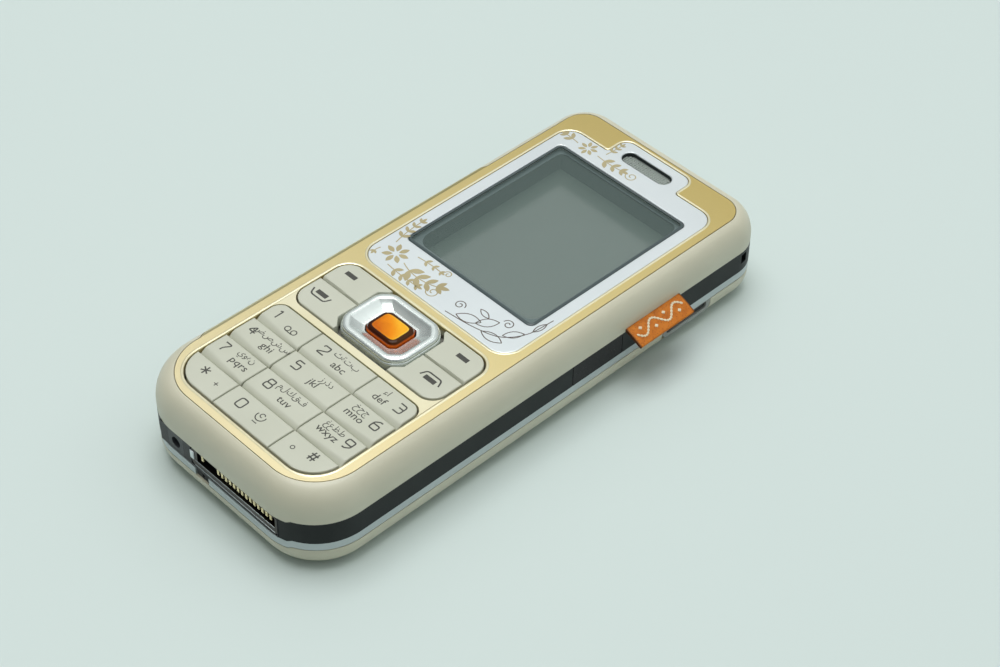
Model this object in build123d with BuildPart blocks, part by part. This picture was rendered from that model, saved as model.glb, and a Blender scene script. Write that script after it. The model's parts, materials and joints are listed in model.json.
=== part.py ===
"""One-piece bar phone lying on its back.

+X is to the right of the screen, +Y runs along the body towards the earpiece and +Z comes out of
the screen. The origin is the middle of the flat back face. Millimetres.
"""

import os
from math import asin, cos, sin

from build123d import *

os.makedirs("parts", exist_ok=True)

# ---- driving dimensions -------------------------------------------------------------------
LENGTH = 105.0
WIDTH = 45.0
THICK = 17.0

BOTTOM_CORNER = 10.4  # plan radius of the two corners beside the connector
TOP_CORNER = 6.8  # plan radius of the two corners beside the earpiece
WALL = 1.2  # shell walls

# heights of the seams between the shells, measured on the long sides
BACK_SEAM = 4.85
TRIM_LOW = 5.0
TRIM_HIGH = 6.5
BAND_HIGH = 10.9
STEP_DROP = 0.45  # the seams run this much lower along the connector end
STEP_INNER = 15.9  # the drop starts between these two half widths
STEP_OUTER = 16.7

# shoulder of the front cover: a quarter ellipse from the side wall to the flat face
CROWN_START = 12.0
CROWN_INSET = 3.2
CROWN_RISE = 5.05
CROWN_STEPS = 6
FOOT_RADIUS = 4.2

# front face
FLOOR_LOW = 15.0  # underside of the front cover's face
FLOOR_HIGH = 16.1  # the plates lie on this level
PLATE_HALF = 19.76
PLATE_BOTTOM = -49.5
PLATE_TOP = 49.3
PLATE_LOW_RADIUS = 9.0
PLATE_HIGH_RADIUS = 4.2
WING_LOW = 14.6  # the plate's wing rolls down the left shoulder to this height
WING_THICK = 0.7
SLIT = 0.06  # hairline gap round inlaid plates
PLATE_GROOVE = 0.14  # visible groove between the gold plate and the cover
PLATE_ROLL = 0.3  # the plate rolls down into the keypad's opening
BEZEL_EDGE = 0.18  # rounding of the silver plate's edges

BEZEL_HALF = 17.8
BEZEL_BOTTOM = -7.05
BEZEL_SHOULDER = 43.6
BEZEL_TOP = 48.45
BEZEL_NECK = 8.1
WINDOW = (-15.35, 15.35, 1.4, 38.9)
WINDOW_HIGH = 16.8
SCREEN_LEVEL = 12.4  # the glass of the display lies this deep
DISPLAY_OPENING = (-15.0, 15.0, 1.9, 38.5)  # opening in the cover's face under the window
EARPIECE_Y = 45.1
EARPIECE_SLOT = (11.1, 3.1)

# keys
KEY_HALF = 17.6
KEY_TOP = 17.25
KEY_GAP = 0.16
KEY_LIP = 0.4  # lip that holds a key up against the underside of the face
OPENING_GAP = 0.12
NUMBER_LOW = -47.6
NUMBER_HIGH = -24.3
NUMBER_RADII = (5.8, 2.3)
COLUMN_SEAM = 6.85
FUNCTION_LOW = -22.7
FUNCTION_HIGH = -9.2
FUNCTION_RADII = (3.1, 3.3)
FUNCTION_SEAM = -15.82
FUNCTION_INNER = 6.6

NAV_Y = -15.75
NAV_HALF = (7.75, 6.2)
NAV_CHAMFER = 2.2
NAV_LOW = 14.75
NAV_HIGH = 17.9
NAV_CLEARANCE = 0.35
PIVOT_Z = 13.75
PIN_RADIUS = 0.3
PIN_CLEARANCE = 0.04

# inner levels, from the back up
COVER_FLOOR = 1.2
BATTERY_HALF = 17.0
BATTERY_Y = (-33.8, 19.2)
BATTERY_Z = (1.5, 6.7)
BAY_TOP = 22.6  # the battery's bay leaves room for the contact blades
BAY_WALL = 0.8
DECK_LOW = 7.4
BOARD_LOW = 8.2
BOARD_HIGH = 9.2
KEYBOARD_LOW = 11.85
KEYBOARD_HIGH = 12.65
FILM = 0.1
DOME_TOP = 12.95
MAT_WEB = (13.5, 13.9)
BAND_WALL = 1.3

# connector end
END_FACE = -LENGTH / 2
SOCKET_X = (-15.15, 14.45)
SOCKET_Z = (6.1, 10.4)
JACK_X = -11.1
JACK_Z = 8.1
JACK_RADIUS = 1.05
CONTACT_COUNT = 14
CONTACT_PITCH = 1.0
CONTACT_FIRST = -0.3
CONTACT_TIP_LOW = 8.75  # each contact is bent down in front of the tongue

# leather tag on the right side
TAG_Y = (16.8, 29.9)
TAG_THICK = 0.56
TAG_REACH = 3.5

# cover release slot on the right side
SLOT_Y = (26.5, 38.5)
SLOT_LOW = 2.6
SLOT_FRAME = 1.0
BUTTON_ROOT = 20.2
BUTTON_DEPTH = 1.9

# other openings
INFRARED_Y = (4.3, 16.2)
INFRARED_SLIT = 0.14
EYELET_SIDE_Y = (46.1, 47.6)  # a strap goes in here and out at the end face
EYELET_END_X = (17.0, 18.6)
EYELET_HIGH = 10.2
PORT_X = (-6.2, -2.8)  # microphone port in the trim line
CAMERA_Y = 38.0
CAMERA_RING_RADIUS = 4.3
CAMERA_HOLE_RADIUS = 2.9
SOUND_SLOTS = [(11.5, 29.0 + 2.4 * row) for row in range(5)]
SOUND_SLOT = (9.0, 0.9)

# hooks of the back shell
HOOK_Y = (-20.0, 12.0)
HOOK_INNER = 20.4
HOOK_LOW = 2.2

SCREW_PLACES = [(-19.8, -33.0), (19.8, -33.0), (-19.8, 41.0), (19.8, 41.0)]
BOSS_RADIUS = 1.35
SCREW_RADIUS = 0.58
SCREW_TIP = 12.4
SCREW_HEAD = (1.25, 0.9)  # radius and height


# ---- shared shapes ------------------------------------------------------------------------
def save(piece, label):
    """Label a finished piece and write it as a STEP file of the same name."""
    piece.part.label = label
    export_step(piece.part, f"parts/{label}.step")


def rounded_box(x_low, x_high, y_low, y_high, low_radius, high_radius):
    """Face between two corners, in the open sketch, with its own radius at the lower and upper corners."""
    with BuildLine() as outline:
        FilletPolyline(
            (x_low, y_low),
            (x_high, y_low),
            (x_high, y_high),
            (x_low, y_high),
            radius=[low_radius, low_radius, high_radius, high_radius],
            close=True,
        )
    make_face(outline.edges())


def body_outline(inset):
    """Plan of the body set in from its widest line, in the open sketch."""
    half_width = WIDTH / 2 - inset
    half_length = LENGTH / 2 - inset
    rounded_box(
        -half_width,
        half_width,
        -half_length,
        half_length,
        BOTTOM_CORNER - 0.5 * inset,
        TOP_CORNER - 0.8 * inset,
    )


def block(x_range, y_range, z_range, mode=Mode.ADD):
    """Box between three ranges, in the open part."""
    sizes = [high - low for low, high in (x_range, y_range, z_range)]
    middle = [(low + high) / 2 for low, high in (x_range, y_range, z_range)]
    with Locations(tuple(middle)):
        Box(*sizes, mode=mode)


def shoulder_block(wall, low, high):
    """Solid inside the front cover's shoulder, set in by a wall, from one height to another."""
    rise = CROWN_RISE - (THICK - high)
    last_turn = asin((high - CROWN_START) / rise)
    with BuildPart() as inside:
        with BuildSketch(Plane.XY.offset(low)):
            body_outline(wall)
        extrude(amount=CROWN_START - low)
        for step in range(CROWN_STEPS + 1):
            turn = last_turn * step / CROWN_STEPS
            with BuildSketch(Plane.XY.offset(CROWN_START + rise * sin(turn))):
                body_outline(wall + CROWN_INSET * (1 - cos(turn)))
        loft()
    return inside.part


def below_seam(height):
    """Everything under a seam: the seam steps down along the connector end."""
    reach = LENGTH
    end_zone = LENGTH / 2 - BOTTOM_CORNER
    with BuildPart() as under:
        block((-reach, reach), (-end_zone, reach), (-1, height))
        with BuildSketch(Plane.XZ.offset(end_zone)):
            with BuildLine():
                Polyline(
                    (-reach, -1),
                    (reach, -1),
                    (reach, height),
                    (STEP_OUTER, height),
                    (STEP_INNER, height - STEP_DROP),
                    (-STEP_INNER, height - STEP_DROP),
                    (-STEP_OUTER, height),
                    (-reach, height),
                    close=True,
                )
            make_face()
        extrude(amount=reach)
    return under.part


def body_ring(wall, low, high):
    """Upright wall all round the body between two heights."""
    with BuildPart() as ring:
        with BuildSketch(Plane.XY.offset(low)):
            body_outline(0)
        extrude(amount=high - low)
        with BuildSketch(Plane.XY.offset(low)):
            body_outline(wall)
        extrude(amount=high - low, mode=Mode.SUBTRACT)
    return ring.part


def plate_outline(gap=0):
    """Plan of the gold plate: a rounded panel with a wing on its left, grown by a gap."""
    wing_x = -WIDTH / 2 - 1
    with BuildLine() as outline:
        FilletPolyline(
            (-PLATE_HALF, PLATE_BOTTOM),
            (PLATE_HALF, PLATE_BOTTOM),
            (PLATE_HALF, PLATE_TOP),
            (-PLATE_HALF, PLATE_TOP),
            (-PLATE_HALF, 24.6),
            (wing_x, 22.0),
            (wing_x, -34.0),
            (-PLATE_HALF, -39.6),
            radius=[
                PLATE_LOW_RADIUS,
                PLATE_LOW_RADIUS,
                PLATE_HIGH_RADIUS,
                PLATE_HIGH_RADIUS,
                1.2,
                1.2,
                2.5,
                0.8,
            ],
            close=True,
        )
    make_face(outline.edges())
    if gap:
        offset(amount=gap, kind=Kind.INTERSECTION)


def bezel_outline(gap=0):
    """Plan of the silver plate: a panel with a narrower neck round the earpiece."""
    with BuildLine() as outline:
        FilletPolyline(
            (-BEZEL_HALF, BEZEL_BOTTOM),
            (BEZEL_HALF, BEZEL_BOTTOM),
            (BEZEL_HALF, BEZEL_SHOULDER),
            (BEZEL_NECK, BEZEL_SHOULDER),
            (BEZEL_NECK, BEZEL_TOP),
            (-BEZEL_NECK, BEZEL_TOP),
            (-BEZEL_NECK, BEZEL_SHOULDER),
            (-BEZEL_HALF, BEZEL_SHOULDER),
            radius=[3.6, 3.6, 3.2, 0.8, 2.0, 2.0, 0.8, 3.2],
            close=True,
        )
    make_face(outline.edges())
    if gap:
        offset(amount=gap, kind=Kind.INTERSECTION)


def number_zone(gap=0):
    """Plan of the twelve number keys together, grown by a gap."""
    low_radius, high_radius = NUMBER_RADII
    rounded_box(
        -KEY_HALF - gap,
        KEY_HALF + gap,
        NUMBER_LOW - gap,
        NUMBER_HIGH + gap,
        low_radius + gap,
        high_radius + gap,
    )


def function_zone(gap=0):
    """Plan of the four function keys with the navigation key among them, grown by a gap."""
    low_radius, high_radius = FUNCTION_RADII
    rounded_box(
        -KEY_HALF - gap,
        KEY_HALF + gap,
        FUNCTION_LOW - gap,
        FUNCTION_HIGH + gap,
        low_radius + gap,
        high_radius + gap,
    )


def nav_outline(gap=0, half=NAV_HALF, chamfer=NAV_CHAMFER, mode=Mode.ADD):
    """Chamfered rectangle of the navigation key, grown by a gap, in the open sketch."""
    x, y = half[0] + gap, half[1] + gap
    with BuildLine() as outline:
        FilletPolyline(
            (-x, NAV_Y - y + chamfer),
            (-x + chamfer, NAV_Y - y),
            (x - chamfer, NAV_Y - y),
            (x, NAV_Y - y + chamfer),
            (x, NAV_Y + y - chamfer),
            (x - chamfer, NAV_Y + y),
            (-x + chamfer, NAV_Y + y),
            (-x, NAV_Y + y - chamfer),
            radius=0.35 * chamfer,
            close=True,
        )
    make_face(outline.edges(), mode=mode)


# ---- shells -------------------------------------------------------------------------------
def make_front_cover():
    """Cream front shell: shoulder, recess for the plates and openings for screen, earpiece and keys."""
    outside = shoulder_block(0, BAND_HIGH - STEP_DROP, THICK)
    inside = shoulder_block(WALL, BAND_HIGH - 1, FLOOR_LOW)
    plate_bed = shoulder_block(WING_THICK, BAND_HIGH, FLOOR_HIGH)
    seam = below_seam(BAND_HIGH)
    with BuildPart() as recess:
        with BuildSketch(Plane.XY.offset(WING_LOW - SLIT)):
            plate_outline(PLATE_GROOVE)
        extrude(amount=THICK)
        add(plate_bed, mode=Mode.SUBTRACT)
    with BuildPart() as front_cover:
        add(outside)
        add(inside, mode=Mode.SUBTRACT)
        add(seam, mode=Mode.SUBTRACT)
        add(recess.part, mode=Mode.SUBTRACT)
        with BuildSketch(Plane.XY.offset(FLOOR_LOW - 0.5)):
            number_zone(OPENING_GAP)
            function_zone(OPENING_GAP)
            rounded_box(*DISPLAY_OPENING, 1.0, 1.0)
            with Locations((0, EARPIECE_Y)):
                SlotOverall(EARPIECE_SLOT[0] - 0.5, EARPIECE_SLOT[1] - 0.5)
        extrude(amount=FLOOR_HIGH - FLOOR_LOW + 1, mode=Mode.SUBTRACT)
        with BuildSketch(Plane.XY.offset(FLOOR_LOW + 0.7)):
            with Locations((0, EARPIECE_Y)):
                SlotOverall(EARPIECE_SLOT[0] + 1.4, EARPIECE_SLOT[1] + 1.5)
        extrude(amount=1, mode=Mode.SUBTRACT)
        with BuildSketch(Plane.XY.offset(BOARD_LOW)):
            with Locations(*SCREW_PLACES):
                Circle(BOSS_RADIUS)
        extrude(until=Until.NEXT)
        with BuildSketch(Plane.XY.offset(BOARD_LOW)):
            with Locations(*SCREW_PLACES):
                Circle(SCREW_RADIUS + 0.02)
        extrude(amount=SCREW_TIP + 0.4 - BOARD_LOW, mode=Mode.SUBTRACT)
        tag_y = (TAG_Y[0] - 0.05, TAG_Y[1] + 0.05)
        block((20, 24), tag_y, (BAND_HIGH - 1, BAND_HIGH + TAG_THICK + 0.04), Mode.SUBTRACT)
    save(front_cover, "front_cover")


def make_faceplate():
    """Gold plate inlaid in the cover, with a wing that follows the left shoulder."""
    outside = shoulder_block(0, BAND_HIGH, THICK)
    plate_bed = shoulder_block(WING_THICK, BAND_HIGH, FLOOR_HIGH)
    with BuildPart() as faceplate:
        add(outside)
        with BuildSketch(Plane.XY.offset(WING_LOW)):
            plate_outline()
        extrude(amount=THICK, mode=Mode.INTERSECT)
        add(plate_bed, mode=Mode.SUBTRACT)
        with BuildSketch(Plane.XY.offset(WING_LOW)):
            bezel_outline(SLIT)
            rounded_box(
                -KEY_HALF - OPENING_GAP,
                KEY_HALF + OPENING_GAP,
                NUMBER_LOW - OPENING_GAP,
                FUNCTION_HIGH + OPENING_GAP,
                NUMBER_RADII[0] + OPENING_GAP,
                FUNCTION_RADII[1] + OPENING_GAP,
            )
        extrude(amount=THICK, mode=Mode.SUBTRACT)
        openings = faceplate.faces().sort_by(Axis.Z)[-1].inner_wires()
        fillet(openings.sort_by(Axis.Y)[0].edges(), PLATE_ROLL)
    save(faceplate, "faceplate")


def make_keypad_divider():
    """Polished bar between the function keys and the number keys, flared round their corners."""
    half = KEY_HALF + OPENING_GAP - 0.02
    with BuildPart() as keypad_divider:
        with BuildSketch(Plane.XY.offset(FLOOR_HIGH)):
            rounded_box(-half, half, NUMBER_HIGH - 2.0, FUNCTION_LOW + 2.6, 0, 0)
        extrude(amount=THICK - FLOOR_HIGH)
        with BuildSketch(Plane.XY.offset(FLOOR_HIGH)):
            number_zone(OPENING_GAP)
            function_zone(OPENING_GAP)
        extrude(amount=THICK - FLOOR_HIGH, mode=Mode.SUBTRACT)
    save(keypad_divider, "keypad_divider")


def make_display_bezel():
    """Silver plate round the screen, with the window's opening and the earpiece slot."""
    x_low, x_high, y_low, y_high = WINDOW
    with BuildPart() as display_bezel:
        with BuildSketch(Plane.XY.offset(FLOOR_HIGH)):
            bezel_outline()
        extrude(amount=THICK - FLOOR_HIGH)
        with BuildSketch(Plane.XY.offset(FLOOR_HIGH)):
            rounded_box(x_low - SLIT, x_high + SLIT, y_low - SLIT, y_high + SLIT, 1.2, 1.2)
            with Locations((0, EARPIECE_Y)):
                SlotOverall(*EARPIECE_SLOT)
        extrude(amount=THICK - FLOOR_HIGH, mode=Mode.SUBTRACT)
        fillet(display_bezel.edges().group_by(Axis.Z)[-1], BEZEL_EDGE)
    save(display_bezel, "display_bezel")


def make_chassis():
    """Middle frame: the charcoal band, a deck for the board and walls round the battery."""
    half = BATTERY_HALF + 0.3
    bay = (-half, half, BATTERY_Y[0] - 0.4, BAY_TOP)
    outer = (-half - BAY_WALL, half + BAY_WALL, bay[2] - BAY_WALL, bay[3] + BAY_WALL)
    floor = BATTERY_Z[0]
    band = body_ring(BAND_WALL, TRIM_HIGH - STEP_DROP, BAND_HIGH)
    low_seam = below_seam(TRIM_HIGH)
    high_seam = below_seam(BAND_HIGH)
    with BuildPart() as chassis:
        add(band)
        add(high_seam, mode=Mode.INTERSECT)
        add(low_seam, mode=Mode.SUBTRACT)
        with BuildSketch(Plane.XY.offset(DECK_LOW)):
            body_outline(BAND_WALL - 0.1)
        extrude(amount=BOARD_LOW - DECK_LOW)
        with BuildSketch(Plane.XY.offset(floor)):
            rounded_box(*outer, 1, 1)
        extrude(amount=BOARD_LOW - floor)
        with BuildSketch(Plane.XY.offset(floor)):
            rounded_box(*bay, 0.4, 0.4)
        extrude(amount=BOARD_LOW - floor, mode=Mode.SUBTRACT)
        block((-4.6, 4.6), (CAMERA_Y - 4.6, CAMERA_Y + 4.6), (DECK_LOW, BOARD_LOW), Mode.SUBTRACT)
        block(SOCKET_X, (END_FACE - 1, -44.6), (TRIM_LOW, BAND_HIGH + 1), Mode.SUBTRACT)
        with BuildSketch(Plane.XY.offset(DECK_LOW)):
            with Locations(*SCREW_PLACES):
                Circle(0.85)
        extrude(amount=BOARD_LOW - DECK_LOW, mode=Mode.SUBTRACT)
        block((20, 24), INFRARED_Y, (TRIM_HIGH, BAND_HIGH), Mode.SUBTRACT)
        block((20, 24), EYELET_SIDE_Y, (BOARD_LOW, EYELET_HIGH), Mode.SUBTRACT)
        block(EYELET_END_X, (50, 54), (BOARD_LOW, EYELET_HIGH), Mode.SUBTRACT)
    save(chassis, "chassis")


def make_infrared_window():
    """Dark window let into the band, flush with it."""
    band = body_ring(BAND_WALL, TRIM_HIGH, BAND_HIGH)
    with BuildPart() as infrared_window:
        add(band)
        window_y = (INFRARED_Y[0] + INFRARED_SLIT, INFRARED_Y[1] - INFRARED_SLIT)
        block((20, 24), window_y, (TRIM_HIGH, BAND_HIGH), Mode.INTERSECT)
    save(infrared_window, "infrared_window")


def make_trim_line():
    """Thin silver ring under the band, with a notch for the microphone at the connector end."""
    ring = body_ring(WALL, TRIM_LOW - STEP_DROP, TRIM_HIGH)
    low_seam = below_seam(TRIM_LOW)
    high_seam = below_seam(TRIM_HIGH)
    with BuildPart() as trim_line:
        add(ring)
        add(high_seam, mode=Mode.INTERSECT)
        add(low_seam, mode=Mode.SUBTRACT)
        block(PORT_X, (END_FACE - 1, -50), (TRIM_LOW - STEP_DROP, TRIM_HIGH), Mode.SUBTRACT)
    save(trim_line, "trim_line")


def make_battery_cover():
    """Cream back shell with openings for camera, loudspeaker and release slot, and four hooks."""
    seam = below_seam(BACK_SEAM)
    with BuildPart() as pocket:
        with BuildSketch(Plane.XY.offset(COVER_FLOOR)):
            body_outline(WALL - 0.1)
        extrude(amount=BACK_SEAM)
        fillet(pocket.edges().group_by(Axis.Z)[0], FOOT_RADIUS - WALL + 0.1)
    with BuildPart() as battery_cover:
        with BuildSketch():
            body_outline(0)
        extrude(amount=BACK_SEAM)
        fillet(battery_cover.edges().group_by(Axis.Z)[0], FOOT_RADIUS)
        add(pocket.part, mode=Mode.SUBTRACT)
        add(seam, mode=Mode.INTERSECT)
        for side in (-1, 1):
            for y in HOOK_Y:
                root = sorted((side * HOOK_INNER, side * (WIDTH / 2 - WALL + 0.12)))
                block(root, (y - 3, y + 3), (HOOK_LOW, BACK_SEAM))
                tongue = sorted((side * HOOK_INNER, side * (WIDTH / 2 - WALL - 0.15)))
                block(tongue, (y - 2.5, y + 2.5), (BACK_SEAM - 0.5, TRIM_HIGH - 0.3))
        with BuildSketch():
            with Locations((0, CAMERA_Y)):
                Circle(CAMERA_RING_RADIUS)
            with Locations(*SOUND_SLOTS):
                SlotOverall(*SOUND_SLOT)
        extrude(amount=COVER_FLOOR + 0.5, mode=Mode.SUBTRACT)
        slot_y = (SLOT_Y[0] - 0.1, SLOT_Y[1] + 0.1)
        block((19.5, 24), slot_y, (SLOT_LOW - 0.1, BACK_SEAM + 1), Mode.SUBTRACT)
    save(battery_cover, "battery_cover")


def make_release_surround():
    """Silver frame of the slot in the back shell's edge, hanging from the trim line."""
    low, high = SLOT_Y
    with BuildPart() as release_surround:
        with BuildSketch(Plane.YZ.offset(WIDTH / 2 - WALL)):
            rounded_box(low, high, SLOT_LOW, TRIM_LOW, 1.5, 0)
        extrude(amount=WALL - 0.05)
        with BuildSketch(Plane.YZ.offset(WIDTH / 2 - WALL)):
            rounded_box(low + SLOT_FRAME, high - SLOT_FRAME, SLOT_LOW + 0.8, TRIM_LOW - 0.2, 0.6, 0)
        extrude(amount=WALL, mode=Mode.SUBTRACT)
    save(release_surround, "release_surround")


def make_cover_release_button():
    """Dark push button inside the slot."""
    low, high = SLOT_Y[0] + SLOT_FRAME + 0.12, SLOT_Y[1] - SLOT_FRAME - 0.12
    with BuildPart() as cover_release_button:
        with BuildSketch(Plane.YZ.offset(BUTTON_ROOT)):
            rounded_box(low, high, SLOT_LOW + 0.92, TRIM_LOW - 0.3, 0.5, 0.1)
        extrude(amount=BUTTON_DEPTH)
    save(cover_release_button, "cover_release_button")


# ---- screen and earpiece ------------------------------------------------------------------
def make_display_window():
    """Clear window in the silver plate's opening."""
    with BuildPart() as display_window:
        with BuildSketch(Plane.XY.offset(FLOOR_HIGH)):
            rounded_box(*WINDOW, 1.2, 1.2)
        extrude(amount=WINDOW_HIGH - FLOOR_HIGH)
    save(display_window, "display_window")


def make_display_gasket():
    """Dark foam wall from the display's glass up to the window."""
    with BuildPart() as display_gasket:
        with BuildSketch(Plane.XY.offset(SCREEN_LEVEL)):
            rounded_box(-16.6, 16.6, 0.3, 40.1, 1, 1)
        extrude(amount=FLOOR_LOW - SCREEN_LEVEL)
        with BuildSketch(Plane.XY.offset(FLOOR_LOW)):
            rounded_box(-14.95, 14.95, 1.95, 38.45, 1, 1)
        extrude(amount=FLOOR_HIGH - FLOOR_LOW)
        with BuildSketch(Plane.XY.offset(SCREEN_LEVEL)):
            rounded_box(-14.4, 14.4, 2.5, 37.9, 1.6, 0.6)
        extrude(amount=FLOOR_HIGH, mode=Mode.SUBTRACT)
    save(display_gasket, "display_gasket")


def make_display_module():
    """Glass of the display."""
    with BuildPart() as display_module:
        block((-16, 16), (0.9, 39.5), (SCREEN_LEVEL - 1.2, SCREEN_LEVEL))
    save(display_module, "display_module")


def make_display_frame():
    """Metal tray that holds the display on the board."""
    with BuildPart() as display_frame:
        block((-17.4, 17.4), (-1.0, 41.0), (BOARD_HIGH, SCREEN_LEVEL))
        block((-16.05, 16.05), (0.85, 39.55), (SCREEN_LEVEL - 1.2, SCREEN_LEVEL), Mode.SUBTRACT)
    save(display_frame, "display_frame")


def make_earpiece():
    """Perforated mesh in the slot and the speaker capsule behind it."""
    with BuildPart() as earpiece_mesh:
        with BuildSketch(Plane.XY.offset(FLOOR_LOW + 0.7)):
            with Locations((0, EARPIECE_Y)):
                SlotOverall(EARPIECE_SLOT[0] + 1.3, EARPIECE_SLOT[1] + 1.4)
                with GridLocations(0.9, 0.8, 11, 3):
                    Circle(0.25, mode=Mode.SUBTRACT)
        extrude(amount=0.3)
    save(earpiece_mesh, "earpiece_mesh")
    with BuildPart() as earpiece_speaker:
        with BuildSketch(Plane.XY.offset(SCREEN_LEVEL)):
            rounded_box(-6, 6, 41.8, 48.2, 2.5, 2.5)
        extrude(amount=FLOOR_LOW - SCREEN_LEVEL)
    save(earpiece_speaker, "earpiece_speaker")


# ---- keys ---------------------------------------------------------------------------------
def make_key(label, zone, x_range, y_range, around_nav=False):
    """Key cap cut from its zone by its own cell, with a lip under the face along the zone's edge."""
    middle = (sum(x_range) / 2, sum(y_range) / 2)
    size = (x_range[1] - x_range[0], y_range[1] - y_range[0])
    layers = ((FLOOR_LOW - KEY_LIP, 0.5, KEY_LIP), (FLOOR_LOW, 0, KEY_TOP - FLOOR_LOW))
    with BuildPart() as key:
        for level, grow, height in layers:
            with BuildSketch(Plane.XY.offset(level)):
                zone(grow)
                with Locations(middle):
                    Rectangle(*size, mode=Mode.INTERSECT)
                if around_nav:
                    nav_outline(NAV_CLEARANCE, mode=Mode.SUBTRACT)
            extrude(amount=height)
        fillet(key.edges().group_by(Axis.Z)[-1], 0.16)
    save(key, label)


def make_number_keys():
    """Twelve keys in three columns and four rows."""
    labels = ("key_1", "key_2", "key_3", "key_4", "key_5", "key_6", "key_7", "key_8", "key_9")
    labels += ("key_star", "key_0", "key_hash")
    far = KEY_HALF + 1
    columns = (
        (-far, -COLUMN_SEAM - KEY_GAP / 2),
        (-COLUMN_SEAM + KEY_GAP / 2, COLUMN_SEAM - KEY_GAP / 2),
        (COLUMN_SEAM + KEY_GAP / 2, far),
    )
    pitch = (NUMBER_HIGH - NUMBER_LOW) / 4
    for index, label in enumerate(labels):
        row, column = divmod(index, 3)
        high = NUMBER_HIGH - row * pitch - KEY_GAP / 2
        low = NUMBER_HIGH - (row + 1) * pitch + KEY_GAP / 2
        if row == 0:
            high = NUMBER_HIGH + 1
        if row == 3:
            low = NUMBER_LOW - 1
        make_key(label, number_zone, columns[column], (low, high))


def make_function_keys():
    """Two selection keys above the call key and the end key, beside the navigation key."""
    far = KEY_HALF + 1
    upper = (FUNCTION_SEAM + KEY_GAP / 2, FUNCTION_HIGH + 1)
    lower = (FUNCTION_LOW - 1, FUNCTION_SEAM - KEY_GAP / 2)
    left = (-far, -FUNCTION_INNER)
    right = (FUNCTION_INNER, far)
    make_key("left_selection_key", function_zone, left, upper, around_nav=True)
    make_key("call_key", function_zone, left, lower, around_nav=True)
    make_key("right_selection_key", function_zone, right, upper, around_nav=True)
    make_key("end_key", function_zone, right, lower, around_nav=True)


def make_navigation_key():
    """Chrome key with a dished top, an opening for the select key and two lugs for the gimbal."""
    with BuildPart() as navigation_key:
        with BuildSketch(Plane.XY.offset(NAV_LOW)):
            nav_outline()
        extrude(amount=NAV_HIGH - NAV_LOW)
        fillet(navigation_key.edges().group_by(Axis.Z)[-1], 0.5)
        with BuildSketch(Plane.XY.offset(16.4)):
            nav_outline(half=(4.25, 3.35), chamfer=1.0)
        with BuildSketch(Plane.XY.offset(NAV_HIGH + 0.1)):
            nav_outline(half=(6.45, 4.95), chamfer=1.7)
        loft(mode=Mode.SUBTRACT)
        with BuildSketch(Plane.XY.offset(NAV_LOW)):
            nav_outline(half=(4.25, 3.35), chamfer=1.0)
        extrude(amount=2.2, mode=Mode.SUBTRACT)
        with BuildSketch(Plane.XY.offset(NAV_LOW)):
            nav_outline(half=(4.85, 3.95), chamfer=1.0)
        extrude(amount=0.5, mode=Mode.SUBTRACT)
        for side in (-1, 1):
            y_range = sorted((NAV_Y + side * 3.9, NAV_Y + side * 4.5))
            block((-0.7, 0.7), y_range, (PIVOT_Z - 0.45, NAV_LOW + 0.6))
        with Locations(Location((0, NAV_Y, PIVOT_Z), (90, 0, 0))):
            Cylinder(PIN_RADIUS + PIN_CLEARANCE, 12, mode=Mode.SUBTRACT)
    save(navigation_key, "navigation_key")


def make_select_key():
    """Amber jewel with a faceted crown, a retaining lip and a stem."""
    with BuildPart() as select_key:
        with BuildSketch(Plane.XY.offset(14.85)):
            nav_outline(half=(4.7, 3.8), chamfer=0.9)
        extrude(amount=0.35)
        with BuildSketch(Plane.XY.offset(15.2)):
            nav_outline(half=(4.05, 3.15), chamfer=0.9)
        extrude(amount=1.25)
        with BuildSketch(Plane.XY.offset(16.45)):
            nav_outline(half=(4.05, 3.15), chamfer=0.9)
        with BuildSketch(Plane.XY.offset(17.1)):
            nav_outline(half=(3.05, 2.2), chamfer=0.6)
        loft()
        with Locations((0, NAV_Y, (14.85 + 13.4) / 2)):
            Cylinder(0.9, 14.85 - 13.4)
    save(select_key, "select_key")


def make_navigation_gimbal():
    """Ring with two pins across and two along, on which the navigation key tilts."""
    with BuildPart() as navigation_gimbal:
        block((-4.6, 4.6), (NAV_Y - 3.6, NAV_Y + 3.6), (PIVOT_Z - 0.35, PIVOT_Z + 0.35))
        block((-3.9, 3.9), (NAV_Y - 2.9, NAV_Y + 2.9), (PIVOT_Z - 0.35, PIVOT_Z + 0.35), Mode.SUBTRACT)
        for side in (-1, 1):
            with Locations(Location((side * 4.9, NAV_Y, PIVOT_Z), (0, 90, 0))):
                Cylinder(PIN_RADIUS, 1.2)
            with Locations(Location((0, NAV_Y + side * 3.9, PIVOT_Z), (90, 0, 0))):
                Cylinder(PIN_RADIUS, 1.0)
    save(navigation_gimbal, "navigation_gimbal")


def make_navigation_posts():
    """Two posts on the key board that carry the gimbal's cross pins."""
    with BuildPart() as navigation_posts:
        for side in (-1, 1):
            x_range = sorted((side * 4.85, side * 5.6))
            block(x_range, (NAV_Y - 0.7, NAV_Y + 0.7), (KEYBOARD_HIGH + FILM, PIVOT_Z + 0.6))
        with Locations(Location((0, NAV_Y, PIVOT_Z), (0, 90, 0))):
            Cylinder(PIN_RADIUS + PIN_CLEARANCE, 14, mode=Mode.SUBTRACT)
    save(navigation_posts, "navigation_posts")


def key_centres():
    """Places of the contact domes under the sixteen outer keys."""
    pitch = (NUMBER_HIGH - NUMBER_LOW) / 4
    numbers = [(x, NUMBER_HIGH - pitch * (row + 0.5)) for row in range(4) for x in (-12.0, 0.0, 12.0)]
    functions = [(side * 12.6, y) for side in (-1, 1) for y in (-12.5, -19.2)]
    return numbers + functions


def nav_centres():
    """Places of the four small domes under the navigation key's edges."""
    return [(6.6, NAV_Y), (-6.6, NAV_Y), (0, NAV_Y + 5.3), (0, NAV_Y - 5.3)]


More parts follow.
